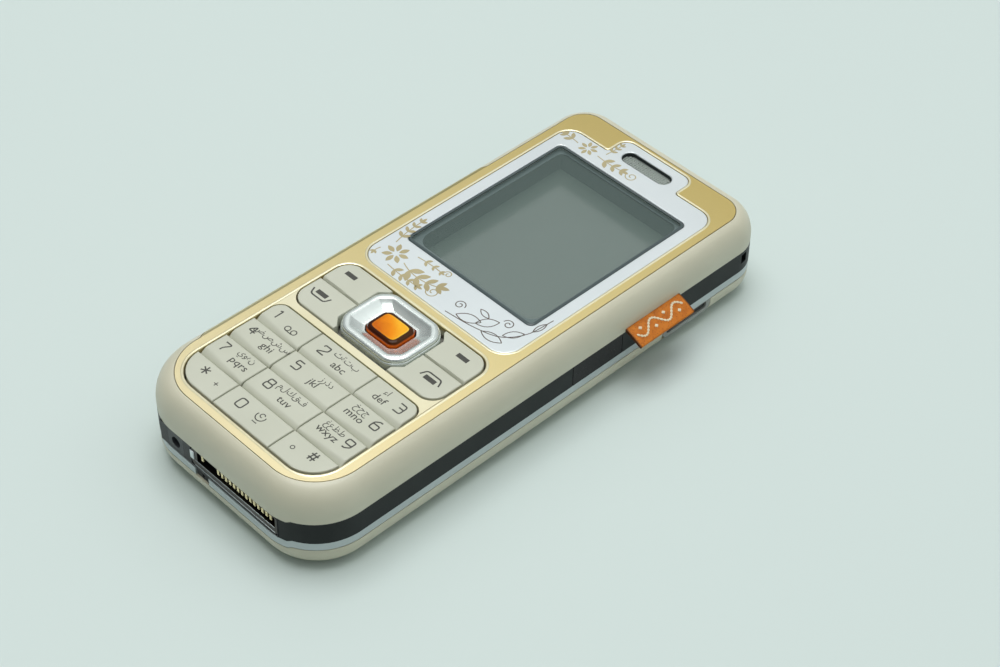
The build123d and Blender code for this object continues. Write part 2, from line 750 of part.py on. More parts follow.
def make_keypad_mat():
    """Silicone web with a nub between each key and its dome."""
    with BuildPart() as keypad_mat:
        with BuildSketch(Plane.XY.offset(MAT_WEB[0])):
            rounded_box(-17.4, 17.4, -47.2, -8.6, 5.6, 3)
            with Locations((0, NAV_Y)):
                Rectangle(11.8, 9.3, mode=Mode.SUBTRACT)
        extrude(amount=MAT_WEB[1] - MAT_WEB[0])
        with BuildSketch(Plane.XY.offset(DOME_TOP)):
            with Locations(*key_centres()):
                Circle(1.1)
        extrude(amount=FLOOR_LOW - KEY_LIP - DOME_TOP)
        with BuildSketch(Plane.XY.offset(DOME_TOP)):
            with Locations(*nav_centres()):
                Circle(0.6)
        extrude(amount=NAV_LOW - DOME_TOP)
    save(keypad_mat, "keypad_mat")


def make_dome_sheet():
    """Film with a snap dome under every key."""
    with BuildPart() as dome_sheet:
        with BuildSketch(Plane.XY.offset(KEYBOARD_HIGH)):
            rounded_box(-17.2, 17.2, -46.8, -3.4, 5, 1)
        extrude(amount=FILM)
        places = [(x, y, 1.9) for x, y in key_centres() + [(0, NAV_Y)]]
        places += [(x, y, 0.75) for x, y in nav_centres()]
        for x, y, radius in places:
            with Locations((x, y, (KEYBOARD_HIGH + FILM + DOME_TOP) / 2)):
                Cone(radius, 0.6 * radius, DOME_TOP - KEYBOARD_HIGH - FILM)
    save(dome_sheet, "dome_sheet")


# ---- inside -------------------------------------------------------------------------------
def make_boards():
    """Key board, shield cans under it and the main board on the deck."""
    with BuildPart() as keypad_board:
        with BuildSketch(Plane.XY.offset(KEYBOARD_LOW)):
            rounded_box(-17.5, 17.5, -47.0, -3.0, 5, 1)
        extrude(amount=KEYBOARD_HIGH - KEYBOARD_LOW)
    save(keypad_board, "keypad_board")

    can_wall = 0.3
    with BuildPart() as shield_cans:
        for y_range in ((-43.5, -26.0), (-24.0, -4.0)):
            block((-16.5, 16.5), y_range, (BOARD_HIGH, KEYBOARD_LOW))
            inner_y = (y_range[0] + can_wall, y_range[1] - can_wall)
            inner_x = (-16.5 + can_wall, 16.5 - can_wall)
            block(inner_x, inner_y, (BOARD_HIGH, KEYBOARD_LOW - can_wall), Mode.SUBTRACT)
    save(shield_cans, "shield_cans")

    with BuildPart() as main_board:
        with BuildSketch(Plane.XY.offset(BOARD_LOW)):
            rounded_box(-17.7, 17.7, -44.4, 49.0, 2, 3)
        extrude(amount=BOARD_HIGH - BOARD_LOW)
        block((15.5, 20), (44.5, 51), (BOARD_LOW, BOARD_HIGH), Mode.SUBTRACT)
    save(main_board, "main_board")


def make_battery():
    """Removable cell and the three sprung contact blades at its upper end."""
    y_high = BATTERY_Y[1]
    with BuildPart() as battery:
        with BuildSketch(Plane.XY.offset(BATTERY_Z[0])):
            rounded_box(-BATTERY_HALF, BATTERY_HALF, *BATTERY_Y, 1.5, 1.5)
        extrude(amount=BATTERY_Z[1] - BATTERY_Z[0])
        fillet(battery.edges().filter_by(Axis.Z, reverse=True), 0.6)
    save(battery, "battery")

    with BuildPart() as battery_contacts:
        for x in (-4.0, 0.0, 4.0):
            with BuildSketch(Plane.YZ.offset(x - 0.8)):
                with BuildLine():
                    Polyline(
                        (y_high + 2.2, BOARD_LOW),
                        (y_high + 2.2, 3.0),
                        (y_high + 0.1, 4.4),
                        (y_high + 0.1, 4.75),
                        (y_high + 1.95, 3.5),
                        (y_high + 1.95, BOARD_LOW),
                        close=True,
                    )
                make_face()
            extrude(amount=1.6)
    save(battery_contacts, "battery_contacts")


def make_sim():
    """Holder on the underside of the main board and the card that slides into it."""
    with BuildPart() as sim_holder:
        block((-13.4, 13.4), (-11.5, 4.2), (6.95, BOARD_LOW))
        block((-12.6, 12.6), (-12.5, 3.2), (7.27, 8.17), Mode.SUBTRACT)
        block((-11.4, 11.4), (-12.5, 1.8), (6.5, 7.5), Mode.SUBTRACT)
    save(sim_holder, "sim_holder")
    with BuildPart() as sim_card:
        with BuildSketch(Plane.XY.offset(7.34)):
            with BuildLine():
                Polyline(
                    (-12.5, -12.0), (12.5, -12.0), (12.5, 0.5), (10.0, 3.0), (-12.5, 3.0), close=True
                )
            make_face()
        extrude(amount=0.76)
    save(sim_card, "sim_card")


def make_camera():
    """Camera block under the board, and the ring in the back shell round its lens."""
    with BuildPart() as camera_module:
        block((-4, 4), (CAMERA_Y - 4, CAMERA_Y + 4), (2.8, BOARD_LOW))
        with Locations((0, CAMERA_Y, 2.0)):
            Cylinder(2.6, 1.6)
        with Locations((0, CAMERA_Y, 1.4)):
            Cone(1.9, 1.2, 0.4, mode=Mode.SUBTRACT)
    save(camera_module, "camera_module")
    with BuildPart() as camera_ring:
        with BuildSketch(Plane.XY.offset(0.15)):
            with Locations((0, CAMERA_Y)):
                Circle(CAMERA_RING_RADIUS)
                Circle(CAMERA_HOLE_RADIUS, mode=Mode.SUBTRACT)
        extrude(amount=COVER_FLOOR - 0.15)
        low_edges = camera_ring.edges().filter_by(GeomType.CIRCLE).group_by(Axis.Z)[0]
        chamfer(low_edges.sort_by(SortBy.RADIUS)[0], 0.5)
    save(camera_ring, "camera_ring")


def make_loudspeaker():
    """Loudspeaker box behind the slots in the back shell."""
    with BuildPart() as loudspeaker:
        with BuildSketch(Plane.XY.offset(1.9)):
            rounded_box(5.8, 17.2, 26.2, 41.4, 1.5, 1.5)
        extrude(amount=DECK_LOW - 1.9)
        with BuildSketch(Plane.XY.offset(1.9)):
            with Locations((11.5, 33.8)):
                SlotOverall(13, 9, rotation=90)
        extrude(amount=0.5, mode=Mode.SUBTRACT)
    save(loudspeaker, "loudspeaker")


def make_vibration_motor():
    """Small motor in a rubber boot, with an off-centre weight on its shaft."""
    axis_y, axis_z = -40.2, 4.4
    across = Plane(origin=(0, axis_y, axis_z), x_dir=(0, 1, 0), z_dir=(1, 0, 0))
    with BuildPart() as vibration_motor:
        with BuildSketch(across.offset(-2)):
            Circle(2)
        extrude(amount=9)
        with BuildSketch(across.offset(5.5)):
            Circle(0.45)
        extrude(amount=2, mode=Mode.SUBTRACT)
    save(vibration_motor, "vibration_motor")
    with BuildPart() as motor_boot:
        block((-1.2, 6.2), (axis_y - 2.9, axis_y + 2.9), (1.6, DECK_LOW))
        with BuildSketch(across.offset(-3)):
            Circle(2)
        extrude(amount=12, mode=Mode.SUBTRACT)
    save(motor_boot, "motor_boot")
    with BuildPart() as motor_weight:
        with BuildSketch(across.offset(5.7)):
            Circle(0.4)
        extrude(amount=6.1)
        with BuildSketch(across.offset(7.6)):
            Circle(1.9)
            with Locations((0, 1.2)):
                Rectangle(4, 1.6, mode=Mode.SUBTRACT)
        extrude(amount=4)
    save(motor_weight, "motor_weight")


def make_antenna():
    """Plastic carrier in the top of the body and the folded metal strip on it."""
    with BuildPart() as antenna_carrier:
        with BuildSketch(Plane.XY.offset(1.7)):
            rounded_box(-17.5, 15.0, 42.4, 49.4, 1, 4)
        extrude(amount=DECK_LOW - 1.7)
        with BuildSketch(Plane.XY.offset(2.9)):
            rounded_box(-16.3, 13.8, 43.6, 48.2, 0.5, 3)
        extrude(amount=DECK_LOW, mode=Mode.SUBTRACT)
    save(antenna_carrier, "antenna_carrier")
    with BuildPart() as antenna_element:
        block((-15.5, 13.0), (43.2, 48.4), (1.55, 1.7))
        for index in range(4):
            x = -12.0 + 6.4 * index
            y_range = (42.8, 47.2) if index % 2 else (44.4, 48.8)
            block((x, x + 0.8), y_range, (1.4, 1.8), Mode.SUBTRACT)
    save(antenna_element, "antenna_element")


def make_case_screws():
    """Four screws through the deck into the front cover's bosses."""
    head_radius, head_height = SCREW_HEAD
    with BuildPart() as case_screws:
        for x, y in SCREW_PLACES:
            with Locations((x, y, DECK_LOW - head_height / 2)):
                Cylinder(head_radius, head_height)
            with Locations((x, y, (DECK_LOW + SCREW_TIP) / 2)):
                Cylinder(SCREW_RADIUS, SCREW_TIP - DECK_LOW)
            with Locations((x, y, DECK_LOW - head_height)):
                Cylinder(0.45, 0.8, mode=Mode.SUBTRACT)
    save(case_screws, "case_screws")


# ---- connector end ------------------------------------------------------------------------
def make_connector():
    """Charger jack and wide flat connector side by side in one dark housing."""
    face = END_FACE + 0.15
    rear = -45.4
    x_low, x_high = SOCKET_X
    z_low, z_high = SOCKET_Z
    jack = (JACK_X - 2.0, JACK_X + 2.0)
    shell = (-7.2, 14.3)
    cavity = (-5.5, 13.9)
    with BuildPart() as connector_housing:
        block((x_low + 0.05, x_high - 0.05), (face, rear), (z_low, z_high))
        block(jack, (face - 1, rear - 0.6), (z_low - 1, z_high + 1), Mode.SUBTRACT)
        block(shell, (face - 1, rear - 0.8), (z_low + 0.25, z_high + 1), Mode.SUBTRACT)
        block((cavity[0] + 0.05, cavity[1] - 0.05), (face + 1.0, rear - 0.5), (8.0, 9.2))
    save(connector_housing, "connector_housing")

    back = Plane(origin=(JACK_X, rear - 0.6, JACK_Z), x_dir=(1, 0, 0), z_dir=(0, -1, 0))
    with BuildPart() as power_jack:
        block((jack[0] + 0.03, jack[1] - 0.03), (face, rear - 0.6), (z_low, z_high))
        with BuildSketch(back.offset(0.6)):
            Circle(0.8)
        extrude(amount=9, mode=Mode.SUBTRACT)
        with BuildSketch(back.offset(2.85)):
            Circle(JACK_RADIUS)
        extrude(amount=9, mode=Mode.SUBTRACT)
        with BuildSketch(back):
            Circle(0.3)
        extrude(amount=2.6)
    save(power_jack, "power_jack")

    low, high = z_low + 0.3, z_high - 0.1
    with BuildPart() as connector_shell:
        with BuildSketch(Plane.XZ.offset(-rear + 0.8)):
            with BuildLine():
                Polyline(
                    (shell[0] + 0.9, low),
                    (shell[1] - 0.5, low),
                    (shell[1], low + 0.5),
                    (shell[1], high),
                    (shell[0] + 0.8, high),
                    (shell[0], high - 0.9),
                    (shell[0], low + 1.0),
                    close=True,
                )
            make_face()
        extrude(amount=rear - 0.8 - face)
        block(cavity, (face - 1, rear), (7.95, high - 0.2), Mode.SUBTRACT)
    save(connector_shell, "connector_shell")

    with BuildPart() as connector_contacts:
        places = [CONTACT_FIRST + CONTACT_PITCH * index for index in range(CONTACT_COUNT)] + [-4.3]
        for x in places:
            block((x - 0.26, x + 0.26), (face + 0.15, rear - 0.8), (9.3, high - 0.25))
            block((x - 0.26, x + 0.26), (face + 0.15, face + 0.45), (CONTACT_TIP_LOW, 9.3))
    save(connector_contacts, "connector_contacts")

    with BuildPart() as microphone:
        with Locations(Location((-4.5, -50.2, 4.5), (90, 0, 0))):
            Cylinder(1.5, 1.6)
        block((PORT_X[0] + 0.05, PORT_X[1] - 0.05), (END_FACE + 0.3, -50.9), (4.55, 6.0))
        with Locations(Location((-4.5, -51, 5.2), (90, 0, 0))):
            Cylinder(0.3, 4, mode=Mode.SUBTRACT)
    save(microphone, "microphone")


def make_leather_tag():
    """Folded strap of leather that comes out of the seam on the right side and droops outwards."""
    root = WIDTH / 2 + 0.3
    nose = WIDTH / 2 + TAG_REACH
    top = BAND_HIGH + 0.03 + TAG_THICK
    with BuildPart() as leather_tag:
        with BuildSketch(Plane.XZ.offset(-TAG_Y[1])):
            with BuildLine():
                Polyline(
                    (20.2, top),
                    (root, top),
                    (nose, top - 1.5),
                    (nose - 0.24, top - 1.5 - 0.5),
                    (root - 0.15, top - TAG_THICK),
                    (20.2, top - TAG_THICK),
                    close=True,
                )
            make_face()
        extrude(amount=TAG_Y[1] - TAG_Y[0])
        nose_edges = leather_tag.edges().filter_by(Axis.Y).sort_by(Axis.X)[-2:]
        fillet(nose_edges, 0.24)
        block((19.5, 20.3), TAG_Y, (top - TAG_THICK - 0.4, top + 0.4))
    save(leather_tag, "leather_tag")


make_front_cover()
make_faceplate()
make_keypad_divider()
make_display_bezel()
make_chassis()
make_infrared_window()
make_trim_line()
make_battery_cover()
make_release_surround()
make_cover_release_button()
make_display_window()
make_display_gasket()
make_display_module()
make_display_frame()
make_earpiece()
make_number_keys()
make_function_keys()
make_navigation_key()
make_select_key()
make_navigation_gimbal()
make_navigation_posts()
make_keypad_mat()
make_dome_sheet()
make_boards()
make_battery()
make_sim()
make_camera()
make_loudspeaker()
make_vibration_motor()
make_antenna()
make_case_screws()
make_connector()
make_leather_tag()
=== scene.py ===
# %% [markdown]
# # A bar phone with a chrome navigation key
# The phone lies on its back: cream shells, a satin gold plate, a silver plate round the screen, cream keys
# and an orange leather tag in the side seam. The engineered solids come in as a fixed frame. Here each of
# them gets its finish, and the parts that are soft, polished, printed or sewn are modelled anew on top.

import json
from math import cos, pi, radians, sin, sqrt

import bpy
from mathutils import Matrix, Vector

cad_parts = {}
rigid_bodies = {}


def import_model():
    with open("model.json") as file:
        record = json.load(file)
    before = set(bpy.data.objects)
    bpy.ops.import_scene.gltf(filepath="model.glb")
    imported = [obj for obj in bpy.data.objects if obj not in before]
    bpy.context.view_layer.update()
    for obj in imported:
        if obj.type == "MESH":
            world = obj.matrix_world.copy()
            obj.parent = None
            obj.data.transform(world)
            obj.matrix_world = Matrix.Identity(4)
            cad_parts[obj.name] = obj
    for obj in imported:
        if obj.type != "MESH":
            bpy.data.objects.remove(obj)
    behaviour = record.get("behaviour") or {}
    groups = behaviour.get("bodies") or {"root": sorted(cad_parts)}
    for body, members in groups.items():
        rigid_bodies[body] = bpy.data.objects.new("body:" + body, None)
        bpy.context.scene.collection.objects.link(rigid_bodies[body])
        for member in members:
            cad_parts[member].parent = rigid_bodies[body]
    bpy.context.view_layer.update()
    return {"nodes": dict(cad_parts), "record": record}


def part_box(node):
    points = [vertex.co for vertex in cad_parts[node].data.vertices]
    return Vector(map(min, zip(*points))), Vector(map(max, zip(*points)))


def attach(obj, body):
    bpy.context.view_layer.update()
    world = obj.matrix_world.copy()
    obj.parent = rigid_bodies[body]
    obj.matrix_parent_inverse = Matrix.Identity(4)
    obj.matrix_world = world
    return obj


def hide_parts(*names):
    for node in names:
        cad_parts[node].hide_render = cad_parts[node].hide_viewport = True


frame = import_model()
nodes = frame["nodes"]
MM = 0.001

# %% [markdown]
# ## Camera
# A long lens looks down from the lower right. It is placed by where it stands, the point that it looks at
# and a small roll, so each number means something. The lens length is worked out from its focal length in
# picture widths.

# %% Camera
PICTURE_WIDTH = 1000
FOCAL_LENGTH_PIXELS = 2219
SENSOR_WIDTH = 36.0
CAMERA_PLACE = Vector((201.65, -186.74, 267.13)) * MM
CAMERA_AIM = Vector((6.55, 2.89, 8.5)) * MM
CAMERA_ROLL = radians(0.68)


def make_camera():
    """Camera at its place, turned to its aim and rolled a little about its own axis."""
    bpy.ops.object.camera_add(location=CAMERA_PLACE)
    camera = bpy.context.object
    camera.name = "camera"
    look = (CAMERA_AIM - CAMERA_PLACE).to_track_quat("-Z", "Y").to_matrix()
    camera.rotation_euler = (look @ Matrix.Rotation(CAMERA_ROLL, 3, "Z")).to_euler()
    camera.data.sensor_width = SENSOR_WIDTH
    camera.data.lens = FOCAL_LENGTH_PIXELS / PICTURE_WIDTH * SENSOR_WIDTH
    camera.data.clip_start = 0.01
    bpy.context.scene.camera = camera
    return camera


camera = make_camera()
bpy.context.scene.view_settings.view_transform = "Standard"
print("lens", round(camera.data.lens, 1), "mm")

# %% [markdown]
# ## Building materials from nodes
# Every finish starts from the Principled shader. Slow noise moves the tone a little, fine noise roughens
# the surface through a Bump node, and both read Object coordinates, so they stay put on the piece.

# %% Material helpers
def tune(node, values):
    """Set input sockets of a node by their names."""
    for label, value in values.items():
        node.inputs[label].default_value = value


def start_material(name, metallic=0.0, roughness=0.5):
    """New material with its Principled shader."""
    material = bpy.data.materials.new(name)
    material.use_nodes = True
    shader = material.node_tree.nodes["Principled BSDF"]
    tune(shader, {"Metallic": metallic, "Roughness": roughness})
    return material, shader


def add_node(material, kind, **settings):
    """New node with its settings."""
    node = material.node_tree.nodes.new(kind)
    for key, value in settings.items():
        setattr(node, key, value)
    return node


def link(material, start, end):
    """Join an output socket to an input socket."""
    material.node_tree.links.new(start, end)


def object_place(material, stretch=(1, 1, 1)):
    """Object coordinates, multiplied by stretch."""
    place = add_node(material, "ShaderNodeTexCoord")
    mapping = add_node(material, "ShaderNodeMapping")
    tune(mapping, {"Scale": stretch})
    link(material, place.outputs["Object"], mapping.inputs["Vector"])
    return mapping.outputs["Vector"]


def noise(material, scale, detail=2.0, stretch=(1, 1, 1)):
    """Noise over the object, with features of about one over scale metres."""
    pattern = add_node(material, "ShaderNodeTexNoise")
    tune(pattern, {"Scale": scale, "Detail": detail})
    link(material, object_place(material, stretch), pattern.inputs["Vector"])
    return pattern.outputs["Fac"]


def ramp(material, factor, stops):
    """Colour ramp with stops of (position, colour)."""
    node = add_node(material, "ShaderNodeValToRGB")
    elements = node.color_ramp.elements
    for index, (position, colour) in enumerate(stops):
        element = elements[index] if index < 2 else elements.new(position)
        element.position = position
        element.color = (*colour, 1)
    link(material, factor, node.inputs["Fac"])
    return node.outputs["Color"]


def between(material, value, low, high, to_low=0.0, to_high=1.0):
    """Straight from to_low, where the value is low, to to_high, where it is high."""
    node = add_node(material, "ShaderNodeMapRange")
    tune(node, {"From Min": low, "From Max": high, "To Min": to_low, "To Max": to_high})
    link(material, value, node.inputs["Value"])
    return node.outputs["Result"]


NOISE_MIDDLE = (0.3, 0.7)  # a noise is seldom outside this range


def spread(material, factor, low, high):
    """Map a noise onto a range of values."""
    return between(material, factor, *NOISE_MIDDLE, low, high)


def feed(material, socket, value):
    """Give an input another socket, a colour or a number."""
    if isinstance(value, bpy.types.NodeSocket):
        link(material, value, socket)
    else:
        socket.default_value = (*value, 1) if isinstance(value, tuple) else value


def blended(material, factor, first, second, how="MIX"):
    """Mix of two colours, each a socket or a plain value, by a socket or a number."""
    node = add_node(material, "ShaderNodeMix", data_type="RGBA", blend_type=how)
    for index, value in ((0, factor), (6, first), (7, second)):  # 6 and 7 are its colour inputs
        feed(material, node.inputs[index], value)
    return node.outputs[2]


def math_node(material, operation, first, second=0.0):
    """Sum, product, largest and so on of two sockets or numbers."""
    node = add_node(material, "ShaderNodeMath", operation=operation)
    feed(material, node.inputs[0], first)
    feed(material, node.inputs[1], second)
    return node.outputs[0]


def place_on(material, axis):
    """One object coordinate, in millimetres."""
    parts = add_node(material, "ShaderNodeSeparateXYZ")
    link(material, object_place(material, (1000, 1000, 1000)), parts.inputs["Vector"])
    return parts.outputs[axis]


def relief(material, shader, height, depth_mm, strength=1.0):
    """Bump from a height, as deep as depth_mm."""
    node = add_node(material, "ShaderNodeBump")
    tune(node, {"Distance": depth_mm * MM, "Strength": strength})
    link(material, height, node.inputs["Height"])
    link(material, node.outputs["Normal"], shader.inputs["Normal"])


def surface(name, dark, light, metallic=0.0, rough=(0.4, 0.5), grain=4000, depth_mm=0.004, stretch=(1, 1, 1)):
    """Everyday finish: tone and gloss drift slowly, and a fine grain covers it."""
    material, shader = start_material(name, metallic)
    drift = noise(material, 90, 3)
    link(material, ramp(material, drift, [(0.35, dark), (0.65, light)]), shader.inputs["Base Color"])
    fine = noise(material, grain, 4, stretch)
    link(material, spread(material, fine, *rough), shader.inputs["Roughness"])
    if depth_mm:
        relief(material, shader, fine, depth_mm)
    return material, shader


# %% [markdown]
# ## Plastics and rubbers
# The shells are lacquered: a cream body colour under a thin satin clear coat. The keys are a little greyer.
# The band is charcoal with a coarser mould texture, and the parts inside are plain dark or pale plastic. They
# differ only in numbers, so a table holds what the helper takes, and one loop makes them all.

# %% Plastics and rubbers
# slot: name, dark and light tone, metallic share, roughness range, grain, depth of the grain in mm
PLASTICS = {
    "cream_plastic": (
        "cream_lacquer", (0.625, 0.60, 0.465), (0.65, 0.625, 0.49), 0, (0.36, 0.42), 7000, 0.0012,
    ),
    "cream_keys": (
        "key_plastic", (0.565, 0.575, 0.475), (0.595, 0.605, 0.505), 0, (0.34, 0.42), 6000, 0.0012,
    ),
    "charcoal_plastic": (
        "charcoal_band", (0.010, 0.013, 0.0135), (0.015, 0.019, 0.0195), 0, (0.38, 0.5), 9000,
    ),
    "infrared_plastic": (
        "infrared_window", (0.008, 0.008, 0.009), (0.012, 0.011, 0.013), 0, (0.2, 0.28), 3000, 0.001,
    ),
    "dark_plastic": ("dark_plastic", (0.012, 0.013, 0.014), (0.02, 0.021, 0.022), 0, (0.45, 0.6), 6000),
    "connector_plastic": (
        "connector_plastic", (0.018, 0.019, 0.021), (0.026, 0.027, 0.03), 0, (0.4, 0.55), 6000,
    ),
    "jack_plastic": ("jack_plastic", (0.038, 0.043, 0.048), (0.052, 0.058, 0.064), 0, (0.35, 0.5), 5000),
    "black_foam": ("black_foam", (0.011, 0.017, 0.018), (0.018, 0.026, 0.027), 0, (0.85, 0.95), 5000, 0),
    "black_rubber": ("black_rubber", (0.010, 0.010, 0.011), (0.018, 0.018, 0.02), 0, (0.6, 0.75), 3500, 0.01),
    "silicone": ("milky_silicone", (0.50, 0.49, 0.44), (0.58, 0.57, 0.52), 0, (0.5, 0.6), 2500),
    "carrier_plastic": ("antenna_carrier", (0.34, 0.33, 0.28), (0.40, 0.39, 0.33), 0, (0.5, 0.62), 4000),
    "card_plastic": ("card_plastic", (0.66, 0.68, 0.70), (0.72, 0.74, 0.76), 0, (0.3, 0.4), 5000, 0.001),
    "battery_label": (
        "battery_label", (0.055, 0.060, 0.066), (0.075, 0.080, 0.086), 0, (0.4, 0.5), 2600, 0.003,
    ),
}
# clear coats of the shells and keys, and weaker reflections of the dark band and its window
EXTRAS = {
    "cream_plastic": {"Coat Weight": 0.12, "Coat Roughness": 0.22},
    "cream_keys": {"Coat Weight": 0.15, "Coat Roughness": 0.3},
    "charcoal_plastic": {"Specular IOR Level": 0.2},
    "infrared_plastic": {"Specular IOR Level": 0.15},
}
materials = {}


def make_surfaces(rows):
    """Everyday finishes from a table."""
    for slot, row in rows.items():
        materials[slot], shader = surface(*row)
        tune(shader, EXTRAS.get(slot, {}))


make_surfaces(PLASTICS)
print(len(materials), "plastics and rubbers")

# %% [markdown]
# ## Metals
# The gold plate is a satin metallic paint: fine flakes and a soft gloss. Its colour is painted paler
# towards the keys, a painted reflection of the brighter sheen there.
# The bar between the key groups and the thin beads are a brighter gold. The trim and the plate round the
# screen are silver paint. Sheet steel inside has grain in one direction, so its noise is stretched.

# %% Metals
def satin_gold():
    """Gold plate: metallic flakes under a satin surface."""
    material, shader = start_material("satin_gold", 1.0)
    flakes = noise(material, 12000, 2)
    # along the plate: pale near the keys, darker ochre at the far end, a painted reflection
    along = between(material, place_on(material, "Y"), -50, 50)
    tones = [(0.0, (0.88, 0.77, 0.48)), (0.45, (0.79, 0.66, 0.33)), (1.0, (0.69, 0.54, 0.21))]
    speckle = ramp(material, flakes, [(0.3, (0.92, 0.92, 0.92)), (0.7, (1.0, 1.0, 1.0))])
    body = blended(material, 1.0, ramp(material, along, tones), speckle, "MULTIPLY")
    link(material, body, shader.inputs["Base Color"])
    link(material, spread(material, noise(material, 2500, 3), 0.34, 0.40), shader.inputs["Roughness"])
    relief(material, shader, flakes, 0.001)
    return material


def chrome():
    """Navigation key: satin plating, softer than a mirror."""
    material, shader = start_material("satin_chrome", 0.75)
    drift = noise(material, 400, 2)
    tone = ramp(material, drift, [(0.3, (0.80, 0.86, 0.84)), (0.7, (0.86, 0.92, 0.90))])
    link(material, tone, shader.inputs["Base Color"])
    link(material, spread(material, noise(material, 200, 2), 0.20, 0.26), shader.inputs["Roughness"])
    return material


GRAIN_ALONG_X = (1, 14, 1)
GRAIN_ALONG_Y = (14, 1, 1)


def sheet(name, dark, light, rough, stretch=GRAIN_ALONG_X):
    """Row of a rolled sheet, with its grain along one direction."""
    return name, dark, light, 1.0, rough, 1400, 0.002, stretch


# rows as for the plastics
METALS = {
    "polished_gold": ("polished_gold", (0.86, 0.79, 0.53), (0.90, 0.84, 0.60), 0.55, (0.28, 0.33), 250, 0),
    "silver_plate": (
        "silver_plate", (0.76, 0.81, 0.83), (0.80, 0.85, 0.87), 0.55, (0.28, 0.34), 14000, 0.0008,
    ),
    "silver_trim": ("silver_trim", (0.47, 0.52, 0.53), (0.53, 0.58, 0.59), 0.55, (0.28, 0.36), 14000, 0.0008),
    "weight_metal": ("sintered_weight", (0.24, 0.24, 0.25), (0.32, 0.32, 0.33), 1.0, (0.45, 0.6), 3000, 0.01),
    "contact_gold": ("contact_gold", (0.86, 0.72, 0.40), (0.94, 0.80, 0.48), 0.8, (0.25, 0.35), 4000, 0.001),
    "mesh_metal": ("woven_mesh", (0.56, 0.62, 0.58), (0.64, 0.70, 0.66), 0.4, (0.4, 0.5), 600, 0),
    "steel_tray": sheet("steel_tray", (0.50, 0.50, 0.50), (0.60, 0.60, 0.60), (0.3, 0.42)),
    "dome_metal": sheet("dome_steel", (0.62, 0.60, 0.55), (0.70, 0.68, 0.62), (0.2, 0.3)),
    "can_metal": sheet("can_steel", (0.55, 0.55, 0.54), (0.64, 0.64, 0.62), (0.28, 0.4)),
    "motor_steel": sheet("motor_steel", (0.58, 0.58, 0.58), (0.66, 0.66, 0.66), (0.22, 0.32), GRAIN_ALONG_Y),
    "screw_steel": sheet("screw_steel", (0.42, 0.42, 0.43), (0.52, 0.52, 0.53), (0.28, 0.38), (1, 1, 1)),
    "shell_metal": sheet(
        "shell_steel", (0.055, 0.048, 0.044), (0.085, 0.075, 0.070), (0.28, 0.38), GRAIN_ALONG_Y,
    ),
}
make_surfaces(METALS)
materials["gold_plate"] = satin_gold()
materials["navigation_chrome"] = chrome()
print(len(materials), "materials with the metals")

# %% [markdown]
# ## Glass, screen, circuit board and leather
# The window is a clear pane, so it is mostly see-through and only adds a reflection. The screen lies 4 mm
# deeper and is glossy itself: it mirrors the dark wall round it. The boards are green lacquer over
# copper traces. The leather is dyed orange, with pores and fine creases.

# %% Glass, screen, board and leather
TABLE_HALF = (2.85, 2.12)  # flat top of the jewel


def window_glass():
    """Clear pane."""
    material, shader = start_material("window_glass", 0.0, 0.03)
    tune(shader, {"Base Color": (0.24, 0.33, 0.31, 1), "Alpha": 0.2})
    link(material, spread(material, noise(material, 120, 2), 0.03, 0.06), shader.inputs["Roughness"])
    return material


def screen_glass():
    """Switched-off display: grey-green, glossy."""
    material, shader = start_material("screen_glass", 0.0, 0.22)
    drift = noise(material, 60, 1)
    tone = ramp(material, drift, [(0.3, (0.118, 0.152, 0.128)), (0.7, (0.130, 0.165, 0.140))])
    link(material, tone, shader.inputs["Base Color"])
    shader.inputs["IOR"].default_value = 2.5
    return material


def circuit_board():
    """Green solder mask over a grid of traces."""
    material, shader = start_material("circuit_board", 0.0, 0.35)
    traces = add_node(material, "ShaderNodeTexVoronoi", feature="DISTANCE_TO_EDGE")
    traces.inputs["Scale"].default_value = 420
    link(material, object_place(material, (1, 2.2, 1)), traces.inputs["Vector"])
    tones = [(0.05, (0.05, 0.16, 0.07)), (0.09, (0.008, 0.05, 0.03))]
    tone = ramp(material, traces.outputs["Distance"], tones)
    link(material, tone, shader.inputs["Base Color"])
    relief(material, shader, traces.outputs["Distance"], 0.03, 0.4)
    return material


def orange_leather():
    """Dyed leather: cell-like pores, creases and a worn sheen. It is darker towards both ends of the strap.
    """
    material, shader = start_material("orange_leather", 0.0, 0.5)
    pores = add_node(material, "ShaderNodeTexVoronoi")
    tune(pores, {"Scale": 2600})
    link(material, object_place(material), pores.inputs["Vector"])
    blotches = noise(material, 700, 4)
    dyes = [(0.25, (0.44, 0.118, 0.009)), (0.5, (0.57, 0.170, 0.014)), (0.75, (0.65, 0.212, 0.022))]
    # darker within 0.35 mm of both ends of the strap
    along = place_on(material, "Y")
    low, high = (corner.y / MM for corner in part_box("leather_tag"))
    from_low = math_node(material, "SUBTRACT", along, low)
    from_high = math_node(material, "SUBTRACT", high, along)
    end_darkening = between(material, math_node(material, "MINIMUM", from_low, from_high), 0.0, 0.35)
    tone = blended(material, end_darkening, (0.10, 0.032, 0.008), ramp(material, blotches, dyes))
    pits = ramp(material, pores.outputs["Distance"], [(0.08, (0.62, 0.56, 0.5)), (0.38, (1.0, 1.0, 1.0))])
    tone = blended(material, 1.0, tone, pits, "MULTIPLY")
    link(material, tone, shader.inputs["Base Color"])
    tune(shader, {"Specular IOR Level": 0.25})
    link(material, spread(material, blotches, 0.42, 0.58), shader.inputs["Roughness"])
    relief(material, shader, pores.outputs["Distance"], 0.03, 0.6)
    return material


# clouding of the stone, brightened towards its upper right by slants: a painted glow
AMBER_CLOUD_AND_GLOW = [(0.0, (0.62, 0.13, 0.002)), (0.5, (0.90, 0.28, 0.003)), (1.0, (0.98, 0.46, 0.02))]
